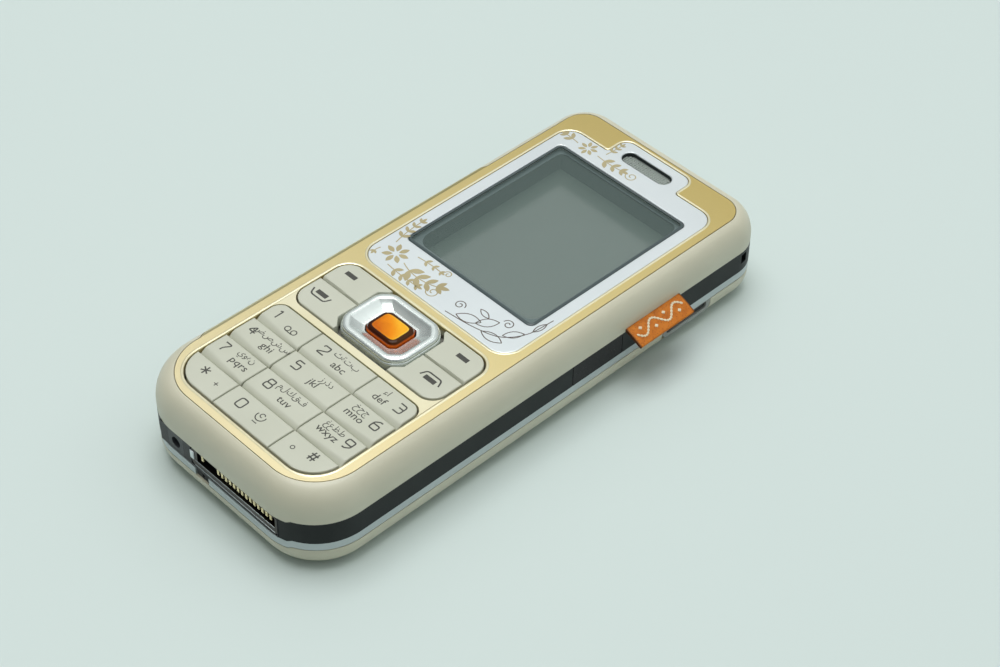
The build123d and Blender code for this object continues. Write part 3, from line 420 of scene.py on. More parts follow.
# painted highlight just inside the table's edge, painted shade darkening the bevel brown
AMBER_BEVEL_LIGHT_AND_SHADE = [  # by how far out a point is: 1 is the edge of the table
    (0.45, (1.0, 1.0, 1.0)),
    (0.75, (1.0, 1.3, 3.0)),
    (0.95, (0.11, 0.07, 0.5)),
    (1.0, (0.06, 0.045, 0.3)),
]
AMBER_FOOT = (17.3, 17.0)  # heights between which the side turns red-brown


def amber():
    """Jewel: bright table with a painted glow towards its upper right and a painted highlight near its edge,
    inside a bevel darkened brown by painted shade, red-brown below.
    """
    material, shader = start_material("amber_jewel", 0.0, 0.1)
    low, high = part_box("select_key")
    middle = (low + high) / 2 / MM
    offsets, shares = [], []
    for axis, centre, half in (("X", middle.x, TABLE_HALF[0]), ("Y", middle.y, TABLE_HALF[1])):
        offset = math_node(material, "SUBTRACT", place_on(material, axis), centre)
        share = math_node(material, "ABSOLUTE", math_node(material, "DIVIDE", offset, half))
        offsets.append(offset)
        shares.append(math_node(material, "POWER", share, 6))
    reach = math_node(material, "ADD", *shares)
    # the slants brighten the table towards its upper right: painted light in the stone
    glow_slants = [math_node(material, "MULTIPLY", offset, slope) for offset, slope in zip(offsets, (0.16, 0.2))]
    cloud_and_glow = math_node(material, "ADD", math_node(material, "ADD", *glow_slants), noise(material, 300, 3))
    # bevel holds the painted highlight and the painted shade of the stone's rim
    cloud_and_glow_tone, bevel = ramp(material, cloud_and_glow, AMBER_CLOUD_AND_GLOW), ramp(material, reach, AMBER_BEVEL_LIGHT_AND_SHADE)
    top = blended(material, 1.0, cloud_and_glow_tone, bevel, "MULTIPLY")
    foot = between(material, place_on(material, "Z"), *AMBER_FOOT)
    link(material, blended(material, foot, top, (0.62, 0.10, 0.002)), shader.inputs["Base Color"])
    tune(shader, {"Specular IOR Level": 0.15})
    return material


materials["window_glass"] = window_glass()
materials["screen_glass"] = screen_glass()
materials["circuit_board"] = circuit_board()
materials["orange_leather"] = orange_leather()
materials["amber_jewel"] = amber()
print(len(materials), "slots have a material")

# finishes of new pieces, inks and a few nodes: rows as for the plastics
MORE_FINISHES = {
    "cream_thread": (
        "cream_thread", (0.70, 0.60, 0.40), (0.82, 0.73, 0.53), 0, (0.6, 0.7), 5000, 0.02, (1, 4, 1),
    ),
    "legend_ink": ("legend_ink", (0.050, 0.050, 0.042), (0.065, 0.064, 0.054), 0, (0.45, 0.55), 5000, 0.001),
    "gold_ink": ("gold_ink", (0.42, 0.35, 0.19), (0.50, 0.43, 0.25), 0.25, (0.35, 0.45), 9000, 0.001),
    "brown_ink": ("brown_ink", (0.085, 0.060, 0.048), (0.12, 0.09, 0.07), 0, (0.4, 0.5), 9000, 0.001),
    "window_border": ("window_border", (0.125, 0.165, 0.170), (0.140, 0.180, 0.185), 0, (0.3, 0.4), 600, 0),
    "pane_edge": ("pane_edge", (0.060, 0.085, 0.088), (0.070, 0.096, 0.100), 0, (0.1, 0.16), 600, 0),
    "mesh_ground": ("mesh_ground", (0.13, 0.15, 0.14), (0.17, 0.19, 0.18), 0, (0.6, 0.7), 3000, 0),
    # dull grey for the release surround: painted shade over a silver part
    "shaded_slot_frame": ("shaded_slot_frame", (0.30, 0.31, 0.29), (0.36, 0.37, 0.35), 0.3, (0.4, 0.5), 6000, 0.001),
}
make_surfaces(MORE_FINISHES)
print(len(MORE_FINISHES), "more finishes")

# %% [markdown]
# ## Dress the frame
# Each solid keeps its shape and takes the material of its slot in the record. New pieces made
# further on are shaded smooth, and their edges stay crisp above an angle.

# %% Dress the frame
SMOOTH_ANGLE = radians(35)


def deselect():
    bpy.ops.object.select_all(action="DESELECT")


def pick(*pieces):
    """Select only these pieces; the last one is active."""
    deselect()
    for piece in pieces:
        piece.select_set(True)
    bpy.context.view_layer.objects.active = pieces[-1]


OWN_FINISH = {  # nodes that look unlike the rest of their slot
    # the release surround is darkened with painted shade
    "release_surround": "shaded_slot_frame",
    "earpiece_mesh": "mesh_ground",
    "microphone": "black_rubber",
}
for part in frame["record"]["subparts"]:
    node = nodes[part["node"]]
    finish = OWN_FINISH.get(part["node"], part["material_slot"])
    node.data.materials.clear()
    node.data.materials.append(materials[finish])

# %% [markdown]
# ## Shaping helpers
# A rounded outline is a list of points: straight corners with arcs put in. A circle primitive with as many
# vertices is laid on it and then extruded from outline to outline, which makes rims, beads and caps.

# %% Shaping helpers
def arc_path(corners, corner_radii, steps=6):
    """Closed outline through corners, each rounded by its own radius. Millimetres."""
    path = []
    count = len(corners)
    for index, (corner, radius) in enumerate(zip(corners, corner_radii)):
        here = Vector(corner)
        to_last = (Vector(corners[index - 1]) - here).normalized()
        to_next = (Vector(corners[(index + 1) % count]) - here).normalized()
        half_angle = to_last.angle(to_next) / 2
        bisector = (to_last + to_next).normalized()
        centre = here + bisector * radius / sin(half_angle)
        start = here + to_last * radius / (sin(half_angle) / cos(half_angle)) - centre
        end = here + to_next * radius / (sin(half_angle) / cos(half_angle)) - centre
        turn = start.angle_signed(end)
        for step in range(steps + 1):
            angle = -turn * step / steps
            spoke_x = start.x * cos(angle) - start.y * sin(angle)
            spoke_y = start.x * sin(angle) + start.y * cos(angle)
            path.append(centre + Vector((spoke_x, spoke_y)))
    return path


def box_path(x_low, x_high, y_low, y_high, low_radius, high_radius, steps=6):
    """Outline of a rounded rectangle, anticlockwise."""
    corners = [(x_low, y_low), (x_high, y_low), (x_high, y_high), (x_low, y_high)]
    return arc_path(corners, [low_radius, low_radius, high_radius, high_radius], steps)


def grow(path, distance):
    """The outline moved outwards by a distance, point by point."""
    grown = []
    for index, point in enumerate(path):
        along = (path[(index + 1) % len(path)] - path[index - 1]).normalized()
        grown.append(point + Vector((along.y, -along.x)) * distance)
    return grown


def at_height(path, z):
    """The outline in space."""
    return [Vector((point.x, point.y, z)) for point in path]


def ring_levels(path, levels):
    """Outlines round a path, for each level its distance outwards and its height."""
    return [at_height(grow(path, distance), height) for distance, height in levels]


def polar(centre, radius, angle):
    """Point at a distance and an angle from a centre."""
    return centre[0] + radius * cos(angle), centre[1] + radius * sin(angle)


def edit(piece, kind="VERT"):
    """Open a piece in edit mode with nothing selected."""
    pick(piece)
    bpy.ops.object.mode_set(mode="EDIT")
    bpy.ops.mesh.select_mode(type=kind)
    bpy.ops.mesh.select_all(action="DESELECT")


def leave_edit():
    bpy.ops.object.mode_set(mode="OBJECT")


def rounded(place):
    """A place that can be looked up: an extruded point starts where its origin is."""
    return tuple(round(c, 7) for c in place)


def lofted(name, outlines, close_start=False, close_end=False):
    """A circle laid on the first outline and extruded through the others. Millimetres in, metres out."""
    count = len(outlines[0])
    deselect()
    bpy.ops.mesh.primitive_circle_add(vertices=count, fill_type="NOTHING")
    piece = bpy.context.object
    piece.name = name
    for vertex, place in zip(piece.data.vertices, outlines[0]):
        vertex.co = place * MM
    rings = [list(range(count))]
    for outline in outlines[1:]:
        edit(piece, "EDGE")
        leave_edit()
        last = set(rings[-1])
        for edge in piece.data.edges:
            edge.select = set(edge.vertices) <= last
        for vertex in piece.data.vertices:
            vertex.select = vertex.index in last
        before = {rounded(piece.data.vertices[i].co): k for k, i in enumerate(rings[-1])}
        bpy.ops.object.mode_set(mode="EDIT")
        bpy.ops.mesh.extrude_edges_move()
        leave_edit()
        ring = [0] * count
        for vertex in piece.data.vertices:
            if vertex.select:
                ring[before[rounded(vertex.co)]] = vertex.index
        for index, place in zip(ring, outline):
            piece.data.vertices[index].co = place * MM
        rings.append(ring)
    for wanted, ring in ((close_start, rings[0]), (close_end, rings[-1])):
        if wanted:
            edit(piece)
            leave_edit()
            for index in ring:
                piece.data.vertices[index].select = True
            bpy.ops.object.mode_set(mode="EDIT")
            bpy.ops.mesh.edge_face_add()
            leave_edit()
    tidy_normals(piece)
    return piece


def tidy_normals(piece):
    """Merge doubles and turn all faces outwards."""
    edit(piece)
    bpy.ops.mesh.select_all(action="SELECT")
    bpy.ops.mesh.remove_doubles(threshold=1e-7)
    bpy.ops.mesh.normals_make_consistent(inside=False)
    leave_edit()


def loop_loft(name, outlines):
    """Loft that comes back to its first outline."""
    return lofted(name, outlines + [outlines[0]])


def finish_piece(piece, name, finish, body, stands_for=()):
    """Name, material, smooth shading, body and slot of a new piece."""
    piece.name = name
    piece.data.name = name
    piece.data.materials.clear()
    piece.data.materials.append(materials[finish])
    pick(piece)
    bpy.ops.object.transform_apply(location=True, rotation=True, scale=True)
    bpy.ops.object.shade_smooth_by_angle(angle=SMOOTH_ANGLE)
    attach(piece, body)
    if stands_for:
        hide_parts(*stands_for)
    return piece


def joined(pieces):
    """One piece of several."""
    pick(*pieces)
    if len(pieces) > 1:
        bpy.ops.object.join()
    return bpy.context.object


def tube(path, width, closed=False, resolution=1, caps=True):
    """Mesh of a thin tube along points that are in metres; its width is in millimetres."""
    curve = bpy.data.curves.new("tube", "CURVE")
    curve.dimensions = "3D"
    curve.bevel_depth = width / 2 * MM
    curve.bevel_resolution = resolution
    curve.use_fill_caps = caps
    spline = curve.splines.new("POLY")
    spline.points.add(len(path) - 1)
    for point, place in zip(spline.points, path):
        point.co = (*place, 1)
    spline.use_cyclic_u = closed
    piece = bpy.data.objects.new("tube", curve)
    bpy.context.scene.collection.objects.link(piece)
    pick(piece)
    bpy.ops.object.convert(target="MESH")
    return bpy.context.object


def stroke(path, width, z, closed=False, height=0.02):
    """Flat raised line of paint or thread along points. Millimetres."""
    piece = tube([(x * MM, y * MM, 0) for x, y in path], width, closed)
    for vertex in piece.data.vertices:
        vertex.co.z = vertex.co.z * height / width + z * MM
    return piece


# %% [markdown]
# ## Key caps
# The real caps are pillowed, and each one's lower edge falls away in a crescent that is widest at the sides
# of the keypad. Each cap is a grid primitive: its rows are laid between the left and right edge of the key,
# its points are lowered near the edges, and its border is extruded down for the side walls.

# %% Key cap sizes
KEY_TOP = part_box("key_5")[1].z / MM
KEY_FOOT = 15.05
ZONE_HALF = 17.6
NUMBER_Y = (-47.6, -24.3)
NUMBER_RADII = (5.8, 2.3)
FUNCTION_Y = (-22.7, -9.2)
FUNCTION_RADII = (3.1, 3.3)
COLUMN_SEAM = 6.85
FUNCTION_SEAM = -15.82
SEAM_GAP = 0.22
NAV_Y = -15.75
NAV_REACH = (8.1, 6.55)  # navigation key's half sizes with its gap
NAV_CHAMFER = 2.2
NAV_INNER = 6.6
OUTER_GAP = 0.2  # dark gap between the caps and the gold ring
EDGE_ROUND = 0.24
CRESCENT_DROP = 0.95
PILLOW_RISE = 0.05
DEEPEST_DROP = 1.2  # a cap's face falls no further than this
CAP_GRID = (44, 26)


def zone_reach(y, ends, end_radii):
    """Half width of a keypad zone at y: its corners are round."""
    for end, radius in zip(ends, end_radii):
        depth = radius - abs(y - end)
        if depth > 0:
            return ZONE_HALF - radius + sqrt(max((radius - OUTER_GAP) ** 2 - depth**2, 0))
    return ZONE_HALF - OUTER_GAP


def number_reach(y):
    return zone_reach(y, NUMBER_Y, NUMBER_RADII)


def function_reach(y):
    return zone_reach(y, FUNCTION_Y, FUNCTION_RADII)


def nav_reach(y):
    """How far the navigation key pushes its neighbours aside at y."""
    past_chamfer = abs(y - NAV_Y) - (NAV_REACH[1] - NAV_CHAMFER)
    return max(NAV_REACH[0] - max(past_chamfer, 0), NAV_INNER)


# %% Key caps
def key_cap(name, left, right, y_range, crescent, lean):
    """One cap. left and right give its edges at y, crescent is the bevel's width, lean its thicker side."""
    columns, rows = CAP_GRID
    y_low, y_high = y_range
    deselect()
    bpy.ops.mesh.primitive_grid_add(x_subdivisions=columns, y_subdivisions=rows, size=2)
    cap = bpy.context.object
    for vertex in cap.data.vertices:
        across = (sin(vertex.co.x * pi / 2) + 1) / 2
        up = (sin(vertex.co.y * pi / 2) + 1) / 2
        y = y_low + (y_high - y_low) * up
        x_low, x_high = left(y), right(y)
        x = x_low + (x_high - x_low) * across
        inward = min(x - x_low, x_high - x, y - y_low, y_high - y)
        rounding = max(EDGE_ROUND - inward, 0)
        drop = EDGE_ROUND - sqrt(max(EDGE_ROUND**2 - rounding**2, 0))
        side = 0.5 + 0.5 * lean * (2 * across - 1)
        width = crescent * (0.35 + 0.65 * side)
        if width > 0:
            fall = max(1 - (y - y_low) / width, 0)
            drop += CRESCENT_DROP * (0.4 + 0.6 * side) * fall**1.6
        pillow = PILLOW_RISE * ((2 * up - 1) ** 2 + 0.5 * (2 * across - 1) ** 2)
        vertex.co = Vector((x, y, KEY_TOP - min(drop + pillow, DEEPEST_DROP))) * MM
    edit(cap, "EDGE")
    bpy.ops.mesh.select_non_manifold()
    bpy.ops.mesh.extrude_edges_move()
    leave_edit()
    for vertex in cap.data.vertices:
        if vertex.select:
            vertex.co.z = KEY_FOOT * MM
    bpy.ops.object.mode_set(mode="EDIT")
    bpy.ops.mesh.edge_face_add()
    leave_edit()
    tidy_normals(cap)
    return finish_piece(cap, "cap_" + name, "cream_keys", name + "_body", [name])


def make_number_caps():
    """Twelve caps in three columns and four rows."""
    labels = [f"key_{digit}" for digit in range(1, 10)] + ["key_star", "key_0", "key_hash"]
    pitch = (NUMBER_Y[1] - NUMBER_Y[0]) / 4
    half_gap = SEAM_GAP / 2
    columns = (
        (lambda y: -number_reach(y), lambda y: -COLUMN_SEAM - half_gap, -1),
        (lambda y: -COLUMN_SEAM + half_gap, lambda y: COLUMN_SEAM - half_gap, 0),
        (lambda y: COLUMN_SEAM + half_gap, lambda y: number_reach(y), 1),
    )
    for index, label in enumerate(labels):
        row, column = divmod(index, 3)
        left, right, lean = columns[column]
        y_high = NUMBER_Y[1] - row * pitch - (half_gap if row else OUTER_GAP)
        y_low = NUMBER_Y[1] - (row + 1) * pitch + (half_gap if row < 3 else OUTER_GAP)
        key_cap(label, left, right, (y_low, y_high), 1.5 if row < 3 else 0.0, lean)
    return labels


def make_function_caps():
    """Two caps on each side of the navigation key."""
    half_gap = SEAM_GAP / 2
    upper = (FUNCTION_SEAM + half_gap, FUNCTION_Y[1] - OUTER_GAP)
    lower = (FUNCTION_Y[0] + OUTER_GAP, FUNCTION_SEAM - half_gap)
    for side, label, span in (
        (-1, "left_selection_key", upper),
        (-1, "call_key", lower),
        (1, "right_selection_key", upper),
        (1, "end_key", lower),
    ):
        crescent = 0.5 if span is upper else 0.0
        if side < 0:
            key_cap(label, lambda y: -function_reach(y), lambda y: -nav_reach(y), span, crescent, -1)
        else:
            key_cap(label, nav_reach, function_reach, span, crescent, 1)


number_labels = make_number_caps()
make_function_caps()
print(len(number_labels) + 4, "key caps")

# %% [markdown]
# ## Key legends
# Digits and signs are thin strokes of dark paint with rounded corners. The letters are Blender's own text
# turned into a mesh. All the paint on one key is one piece, and it rides on that key.

# %% Strokes of the digits, in a box one unit wide and one unit high
INK_LEVEL = KEY_TOP
INK_LIFT = 0.006
DIGIT_STROKES = {  # a stroke that ends where it starts is a closed one
    "0": [[(0, 0), (1, 0), (1, 1), (0, 1), (0, 0)]],
    "1": [[(0.25, 0.85), (0.55, 1), (0.55, 0)]],
    "2": [[(0.02, 0.8), (0.12, 1), (1, 1), (1, 0.55), (0, 0.12), (0, 0), (1, 0)]],
    "3": [[(0, 1), (1, 1), (1, 0), (0, 0)], [(0.3, 0.53), (1, 0.53)]],
    "4": [[(0.72, 0), (0.72, 1), (0, 0.3), (1.05, 0.3)]],
    "5": [[(0.95, 1), (0.08, 1), (0.04, 0.56), (1, 0.6), (1, 0), (0, 0)]],
    "6": [[(0, 0), (1, 0), (1, 0.55), (0, 0.55), (0, 0)], [(0, 0.3), (0, 0.7), (0.5, 1), (0.85, 1)]],
    "7": [[(0, 1), (1, 1), (0.4, 0.35), (0.35, 0)]],
    "8": [
        [(0, 0), (1, 0), (1, 0.53), (0, 0.53), (0, 0)],
        [(0.08, 0.53), (0.92, 0.53), (0.92, 1), (0.08, 1), (0.08, 0.53)],
    ],
    "9": [[(1, 1), (0, 1), (0, 0.45), (1, 0.45), (1, 1)], [(1, 0.7), (1, 0.3), (0.5, 0), (0.15, 0)]],
    "star": [[(0.5, 0.05), (0.5, 0.95)], [(0.1, 0.27), (0.9, 0.73)], [(0.1, 0.73), (0.9, 0.27)]],
    "hash": [[(0.2, 0), (0.35, 1)], [(0.65, 0), (0.8, 1)], [(0, 0.3), (1, 0.3)], [(0, 0.7), (1, 0.7)]],
}


def soften(points, closed, share=0.3):
    """Round the corners of a stroke."""
    path = []
    count = len(points)
    for index, point in enumerate(points):
        here = Vector(point)
        if not closed and index in (0, count - 1):
            path.append(here)
            continue
        last = Vector(points[index - 1])
        following = Vector(points[(index + 1) % count])
        reach = share * min((last - here).length, (following - here).length)
        start = here + (last - here).normalized() * reach
        end = here + (following - here).normalized() * reach
        for step in range(4):
            t = step / 3
            path.append(start * (1 - t) ** 2 + here * 2 * t * (1 - t) + end * t**2)
    return path


def sign(key, centre, size, width):
    """Strokes of one digit or sign round a centre."""
    pieces = []
    for points in DIGIT_STROKES[key]:
        closed = points[0] == points[-1]
        if closed:
            points = points[:-1]
        placed = [((x - 0.5) * size[0] + centre[0], (y - 0.5) * size[1] + centre[1]) for x, y in points]
        pieces.append(stroke(soften(placed, closed), width, INK_LEVEL, closed))
    return pieces


def ring_stroke(centre, radius, width, start=0.0, end=2 * pi, steps=16):
    """Arc or full circle of paint."""
    whole = abs(end - start - 2 * pi) < 0.01
    count = steps if whole else steps + 1
    path = [polar(centre, radius, start + (end - start) * i / steps) for i in range(count)]
    return stroke(path, width, INK_LEVEL, whole)


def letters(text, centre, height, stretch, weight):
    """Blender's own letters as thin raised paint, centred on a point."""
    deselect()
    bpy.ops.object.text_add()
    piece = bpy.context.object
    piece.data.body = text
    piece.data.size = height * MM
    piece.data.offset = weight * MM
    piece.data.extrude = 0.008 * MM
    piece.data.resolution_u = 2
    bpy.ops.object.convert(target="MESH")
    piece = bpy.context.object
    xs = [vertex.co.x for vertex in piece.data.vertices]
    ys = [vertex.co.y for vertex in piece.data.vertices]
    middle = Vector(((min(xs) + max(xs)) / 2, (min(ys) + max(ys)) / 2, 0))
    for vertex in piece.data.vertices:
        place = vertex.co - middle
        x, y = place.x * stretch + centre[0] * MM, place.y + centre[1] * MM
        vertex.co = Vector((x, y, place.z + INK_LEVEL * MM))
    return piece


def lay_on_cap(paint, label):
    """Drop each point of the paint onto the pillowed cap below it."""
    cap = bpy.data.objects["cap_" + label]
    for vertex in paint.data.vertices:
        above = Vector((vertex.co.x, vertex.co.y, (KEY_TOP + 1) * MM))
        hit, place, *_ = cap.ray_cast(above, Vector((0, 0, -1)))
        if hit:
            vertex.co.z += place.z - (INK_LEVEL - INK_LIFT) * MM
    return paint


# %% Legends of the twelve number keys
DIGIT_SIZE = (1.5, 1.95)
STAR_SIZE = (1.9, 2.0)
DIGIT_WIDTH = 0.27
WORD_STYLES = ((2.0, 1.12, 0.012), (1.7, 1.0, 0.005))  # height, stretch and weight of the two words
LEGENDS = {
    "key_1": ("1", (-15.1, -26.9)),
    "key_2": ("2", (-3.5, -27.0), ("abc", (1.2, -28.0)), ("ثةتب", (1.1, -26.2))),
    "key_3": ("3", (14.8, -26.9), ("def", (11.0, -27.8)), ("ءا", (10.9, -26.0))),
    "key_4": ("4", (-15.1, -32.3), ("ghi", (-10.3, -33.6)), ("ضصشس", (-11.0, -31.7))),
    "key_5": ("5", (-3.8, -32.3), ("jkl", (1.0, -33.4)), ("زرذد", (2.6, -31.7))),
    "key_6": ("6", (15.0, -32.1), ("mno", (11.0, -33.4)), ("خحج", (11.0, -31.7))),
    "key_7": ("7", (-15.1, -38.2), ("pqrs", (-10.4, -39.5)), ("يوهن", (-10.7, -37.5))),
    "key_8": ("8", (-3.6, -38.3), ("tuv", (1.2, -39.4)), ("ملكقف", (0.9, -37.5))),
    "key_9": ("9", (15.1, -37.9), ("wxyz", (11.0, -39.2)), ("غعظط", (11.2, -37.4))),
    "key_star": ("star", (-13.0, -43.8)),
    "key_0": ("0", (-3.3, -44.3)),
    "key_hash": ("hash", (13.4, -43.6)),
}


def bars(width, *paths):
    """Plain strokes of one width."""
    return [stroke(path, width, INK_LEVEL) for path in paths]


def extra_signs(label):
    """Signs that only one key has."""
    if label == "key_1":
        loops = [ring_stroke((x, -28.0), 0.52, 0.2) for x in (-11.5, -10.0)]
        return loops + bars(0.2, [(-11.5, -28.55), (-10.0, -28.55)])
    if label == "key_star":
        return bars(0.17, [(-9.85, -44.6), (-8.95, -44.6)], [(-9.4, -45.05), (-9.4, -44.15)])
    if label == "key_0":
        outer = ring_stroke((1.2, -44.0), 0.95, 0.2, radians(-200), radians(20))
        inner = ring_stroke((1.25, -43.7), 0.42, 0.18, radians(20), radians(300))
        return [outer, inner] + bars(0.17, [(0.7, -45.5), (1.8, -45.5)])
    if label == "key_hash":
        return [ring_stroke((9.6, -44.6), 0.36, 0.17)]
    return []


def print_on_key(paint, kind, label):
    """All the paint of one key as one piece that rides on the key."""
    finish_piece(lay_on_cap(joined(paint), label), kind + label, "legend_ink", label + "_body")


def make_number_legends():
    """One painted legend on each number key."""
    for label, (digit, place, *words) in LEGENDS.items():
        paint = sign(digit, place, STAR_SIZE if digit == "star" else DIGIT_SIZE, DIGIT_WIDTH)
        for (text, spot), style in zip(words, WORD_STYLES):
            paint.append(letters(text, spot, *style))
        print_on_key(paint + extra_signs(label), "legend_", label)


make_number_legends()

# %% Marks of the four function keys
MARK_SIZE = (2.5, 0.95)
MARK_PLACES = {
    "left_selection_key": (-14.1, -12.0),
    "right_selection_key": (13.2, -11.9),
    "call_key": (-14.0, -18.5),
    "end_key": (13.2, -19.1),
}
BRACKET = ((-2.15, -0.2), (-1.6, 1.15), (1.6, 1.15), (2.15, -0.2))
BRACKET_SIDES = {"call_key": -1, "end_key": 1}  # below or above the bar


def make_function_marks():
    """A bar on every function key, with a bracket on the call key and on the end key."""
    width, height = MARK_SIZE
    for label, (x, y) in MARK_PLACES.items():
        paint = bars(height, [(x - width / 2, y), (x + width / 2, y)])
        if label in BRACKET_SIDES:
            bracket = [(x + across, y + up * BRACKET_SIDES[label]) for across, up in BRACKET]
            paint.append(stroke(soften(bracket, False, 0.35), 0.3, INK_LEVEL))
        print_on_key(paint, "mark_", label)


make_function_marks()
print("legends on all keys")

# %% [markdown]
# ## Navigation key and its jewel
# The four-way key is a plated dish: a soft outer wall, a shoulder, a round crest and four flat facets that
# slope down to the stone. The stone is cushion cut, with a wide bevel round a flat table. Both are lofted
# from outline to outline, because each level is the same chamfered rectangle at another size.

# %% Navigation key and its jewel
def nav_path(half_x, half_y, chamfer, round_share, steps=3):
    """Chamfered rectangle round the navigation key's middle."""
    corners = [
        (-half_x, NAV_Y - half_y + chamfer),
        (-half_x + chamfer, NAV_Y - half_y),
        (half_x - chamfer, NAV_Y - half_y),
        (half_x, NAV_Y - half_y + chamfer),
        (half_x, NAV_Y + half_y - chamfer),
        (half_x - chamfer, NAV_Y + half_y),
        (-half_x + chamfer, NAV_Y + half_y),
        (-half_x, NAV_Y + half_y - chamfer),
    ]
    return arc_path(corners, [round_share * chamfer] * 8, steps)


# half width, half depth, chamfer, corner rounding, height: from the foot over the crest into the dish
NAV_LEVELS = [
    (7.72, 6.17, 2.2, 1.2, 15.30),
    (7.75, 6.20, 2.2, 1.2, 16.55),
    (7.72, 6.17, 2.2, 1.2, 16.90),
    (7.62, 6.07, 2.18, 1.2, 17.04),
    (7.56, 6.01, 2.15, 1.2, 17.08),
    (7.54, 5.99, 2.15, 1.2, 17.30),
    (7.48, 5.93, 2.12, 1.2, 17.55),
    (7.34, 5.79, 2.08, 1.2, 17.74),
    (7.10, 5.55, 2.0, 1.2, 17.86),
    (6.80, 5.25, 1.88, 1.1, 17.89),
    (6.48, 4.93, 1.75, 1.0, 17.87),
    (6.24, 4.69, 1.6, 0.6, 17.79),
    (6.10, 4.55, 1.5, 0.3, 17.64),
    (4.50, 3.60, 1.15, 0.3, 16.84),
    (4.30, 3.46, 1.1, 0.4, 16.76),
    (3.92, 3.14, 1.0, 0.8, 16.72),
    (3.90, 3.12, 1.0, 0.8, 15.30),
]
STONE_LEVELS = [
    (3.62, 2.84, 0.9, 1.2, 14.95),
    (3.66, 2.88, 0.9, 1.2, 16.60),
    (3.66, 2.88, 0.9, 1.2, 16.95),
    (3.60, 2.82, 0.9, 1.2, 17.22),
    (3.44, 2.66, 0.85, 1.2, 17.44),
    (3.18, 2.42, 0.75, 1.2, 17.58),
    (2.90, 2.16, 0.66, 1.2, 17.64),
    (2.78, 2.04, 0.6, 1.2, 17.61),
    (1.40, 1.00, 0.3, 0.8, 17.67),
]


def nav_outlines(levels):
    """The outline at each level."""
    return [at_height(nav_path(*shape), height) for *shape, height in levels]


dish = loop_loft("dish", nav_outlines(NAV_LEVELS))
plating = "navigation_chrome"
finish_piece(dish, "navigation_dish", plating, "navigation", ["navigation_key"])
stone = lofted("stone", nav_outlines(STONE_LEVELS), True, True)
finish_piece(stone, "amber_stone", "amber_jewel", "select", ["select_key"])
print("navigation key", len(dish.data.polygons), "faces; stone", len(stone.data.polygons))

# %% [markdown]
# ## Plate edges
# The gold plate is pressed: where it meets the silver plate and the keys it has a narrow polished bead that
# catches the light. Each bead is a low ridge lofted along the opening's outline.

# %% Plate edges
PLATE_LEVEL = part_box("faceplate")[1].z / MM
BEZEL_LOW, BEZEL_HIGH = (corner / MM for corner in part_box("display_bezel"))
BEZEL_SHOULDER = 43.6
BEZEL_NECK = 8.1


def bezel_path(steps=8):
    """Outline of the silver plate, with its neck round the earpiece."""
    left, right, low, high = BEZEL_LOW.x, BEZEL_HIGH.x, BEZEL_LOW.y, BEZEL_HIGH.y
    corners = [
        (left, low),
        (right, low),
        (right, BEZEL_SHOULDER),
        (BEZEL_NECK, BEZEL_SHOULDER),
        (BEZEL_NECK, high),
        (-BEZEL_NECK, high),
        (-BEZEL_NECK, BEZEL_SHOULDER),
        (left, BEZEL_SHOULDER),
    ]
    return arc_path(corners, [3.6, 3.6, 3.2, 0.8, 2.0, 2.0, 0.8, 3.2], steps)


BEAD_PROFILE = ((0.0, -0.02), (0.25, 0.75), (0.5, 1.0), (0.75, 0.75), (1.0, -0.02))
BEAD_RISE = 0.10


def bead(name, path, inset, width):
    """Polished ridge outside a path."""
    levels = [(inset + share * width, PLATE_LEVEL + height * BEAD_RISE) for share, height in BEAD_PROFILE]
    ridge = lofted(name, ring_levels(path, levels))
    return finish_piece(ridge, name, "polished_gold", "phone")


keypad_ends = (-ZONE_HALF, ZONE_HALF, NUMBER_Y[0], FUNCTION_Y[1])
keypad_path = box_path(*keypad_ends, NUMBER_RADII[0], FUNCTION_RADII[1], 8)
bead("bezel_bead", bezel_path(), 0.08, 0.42)
bead("keypad_bead", keypad_path, 0.16, 0.5)
print("beads round the silver plate and the keypad")

# %% [markdown]
# ## Window border
# Behind the pane, a printed grey border hides the gap between the window and the sunk screen.

# %% Window border
PANE_LOW, PANE_HIGH = (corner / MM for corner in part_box("display_window"))
PANE_RADIUS = 1.2
PANE_EDGE_LEVELS = ((0.0, 16.7), (0.0, 16.86), (-0.12, 16.97), (-0.32, 17.02), (-0.5, 17.0), (-0.5, 16.81))


def pane_path(left, right, near, far, *radii):
    """Outline inside the pane by these distances."""
    x_ends = PANE_LOW.x + left, PANE_HIGH.x - right
    return box_path(*x_ends, PANE_LOW.y + near, PANE_HIGH.y - far, *radii)


def make_window_border():
    """Printed ring on the underside of the pane."""
    outer = pane_path(0.02, 0.02, 0.02, 0.02, PANE_RADIUS, PANE_RADIUS)
    inner = pane_path(1.15, 1.15, 1.4, 0.8, 2.6, 1.4)
    front = PANE_LOW.z + 0.05
    back = front - 0.02
    levels = ((outer, front), (inner, front), (inner, back), (outer, back))
    ring = loop_loft("window_border", [at_height(path, z) for path, z in levels])
    return finish_piece(ring, "window_border", "window_border", "phone")


def make_pane_edge():
    """Dark glossy bevel along the pane's rim."""
    rim = pane_path(0, 0, 0, 0, PANE_RADIUS, PANE_RADIUS)
    ring = loop_loft("pane_edge", ring_levels(rim, PANE_EDGE_LEVELS))
    return finish_piece(ring, "pane_edge", "pane_edge", "phone")


make_window_border()
make_pane_edge()
print("border and edge of the pane")

# %% [markdown]
# ## Earpiece mesh
# A fine woven mesh covers the slot. Every wire is a thin tube that waves over and under its neighbours, so
# the weave is real. Wires end where the slot's rounded outline cuts them.

# %% Earpiece mesh
WIRE_PITCH = 0.48
WIRE_WIDTH = 0.2
WIRE_WAVE = 0.05
WEAVE_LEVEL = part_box("earpiece_mesh")[1].z / MM + 0.12
SLOT_CENTRE_Y = 45.1
SLOT_HALF = (5.6, 1.6)


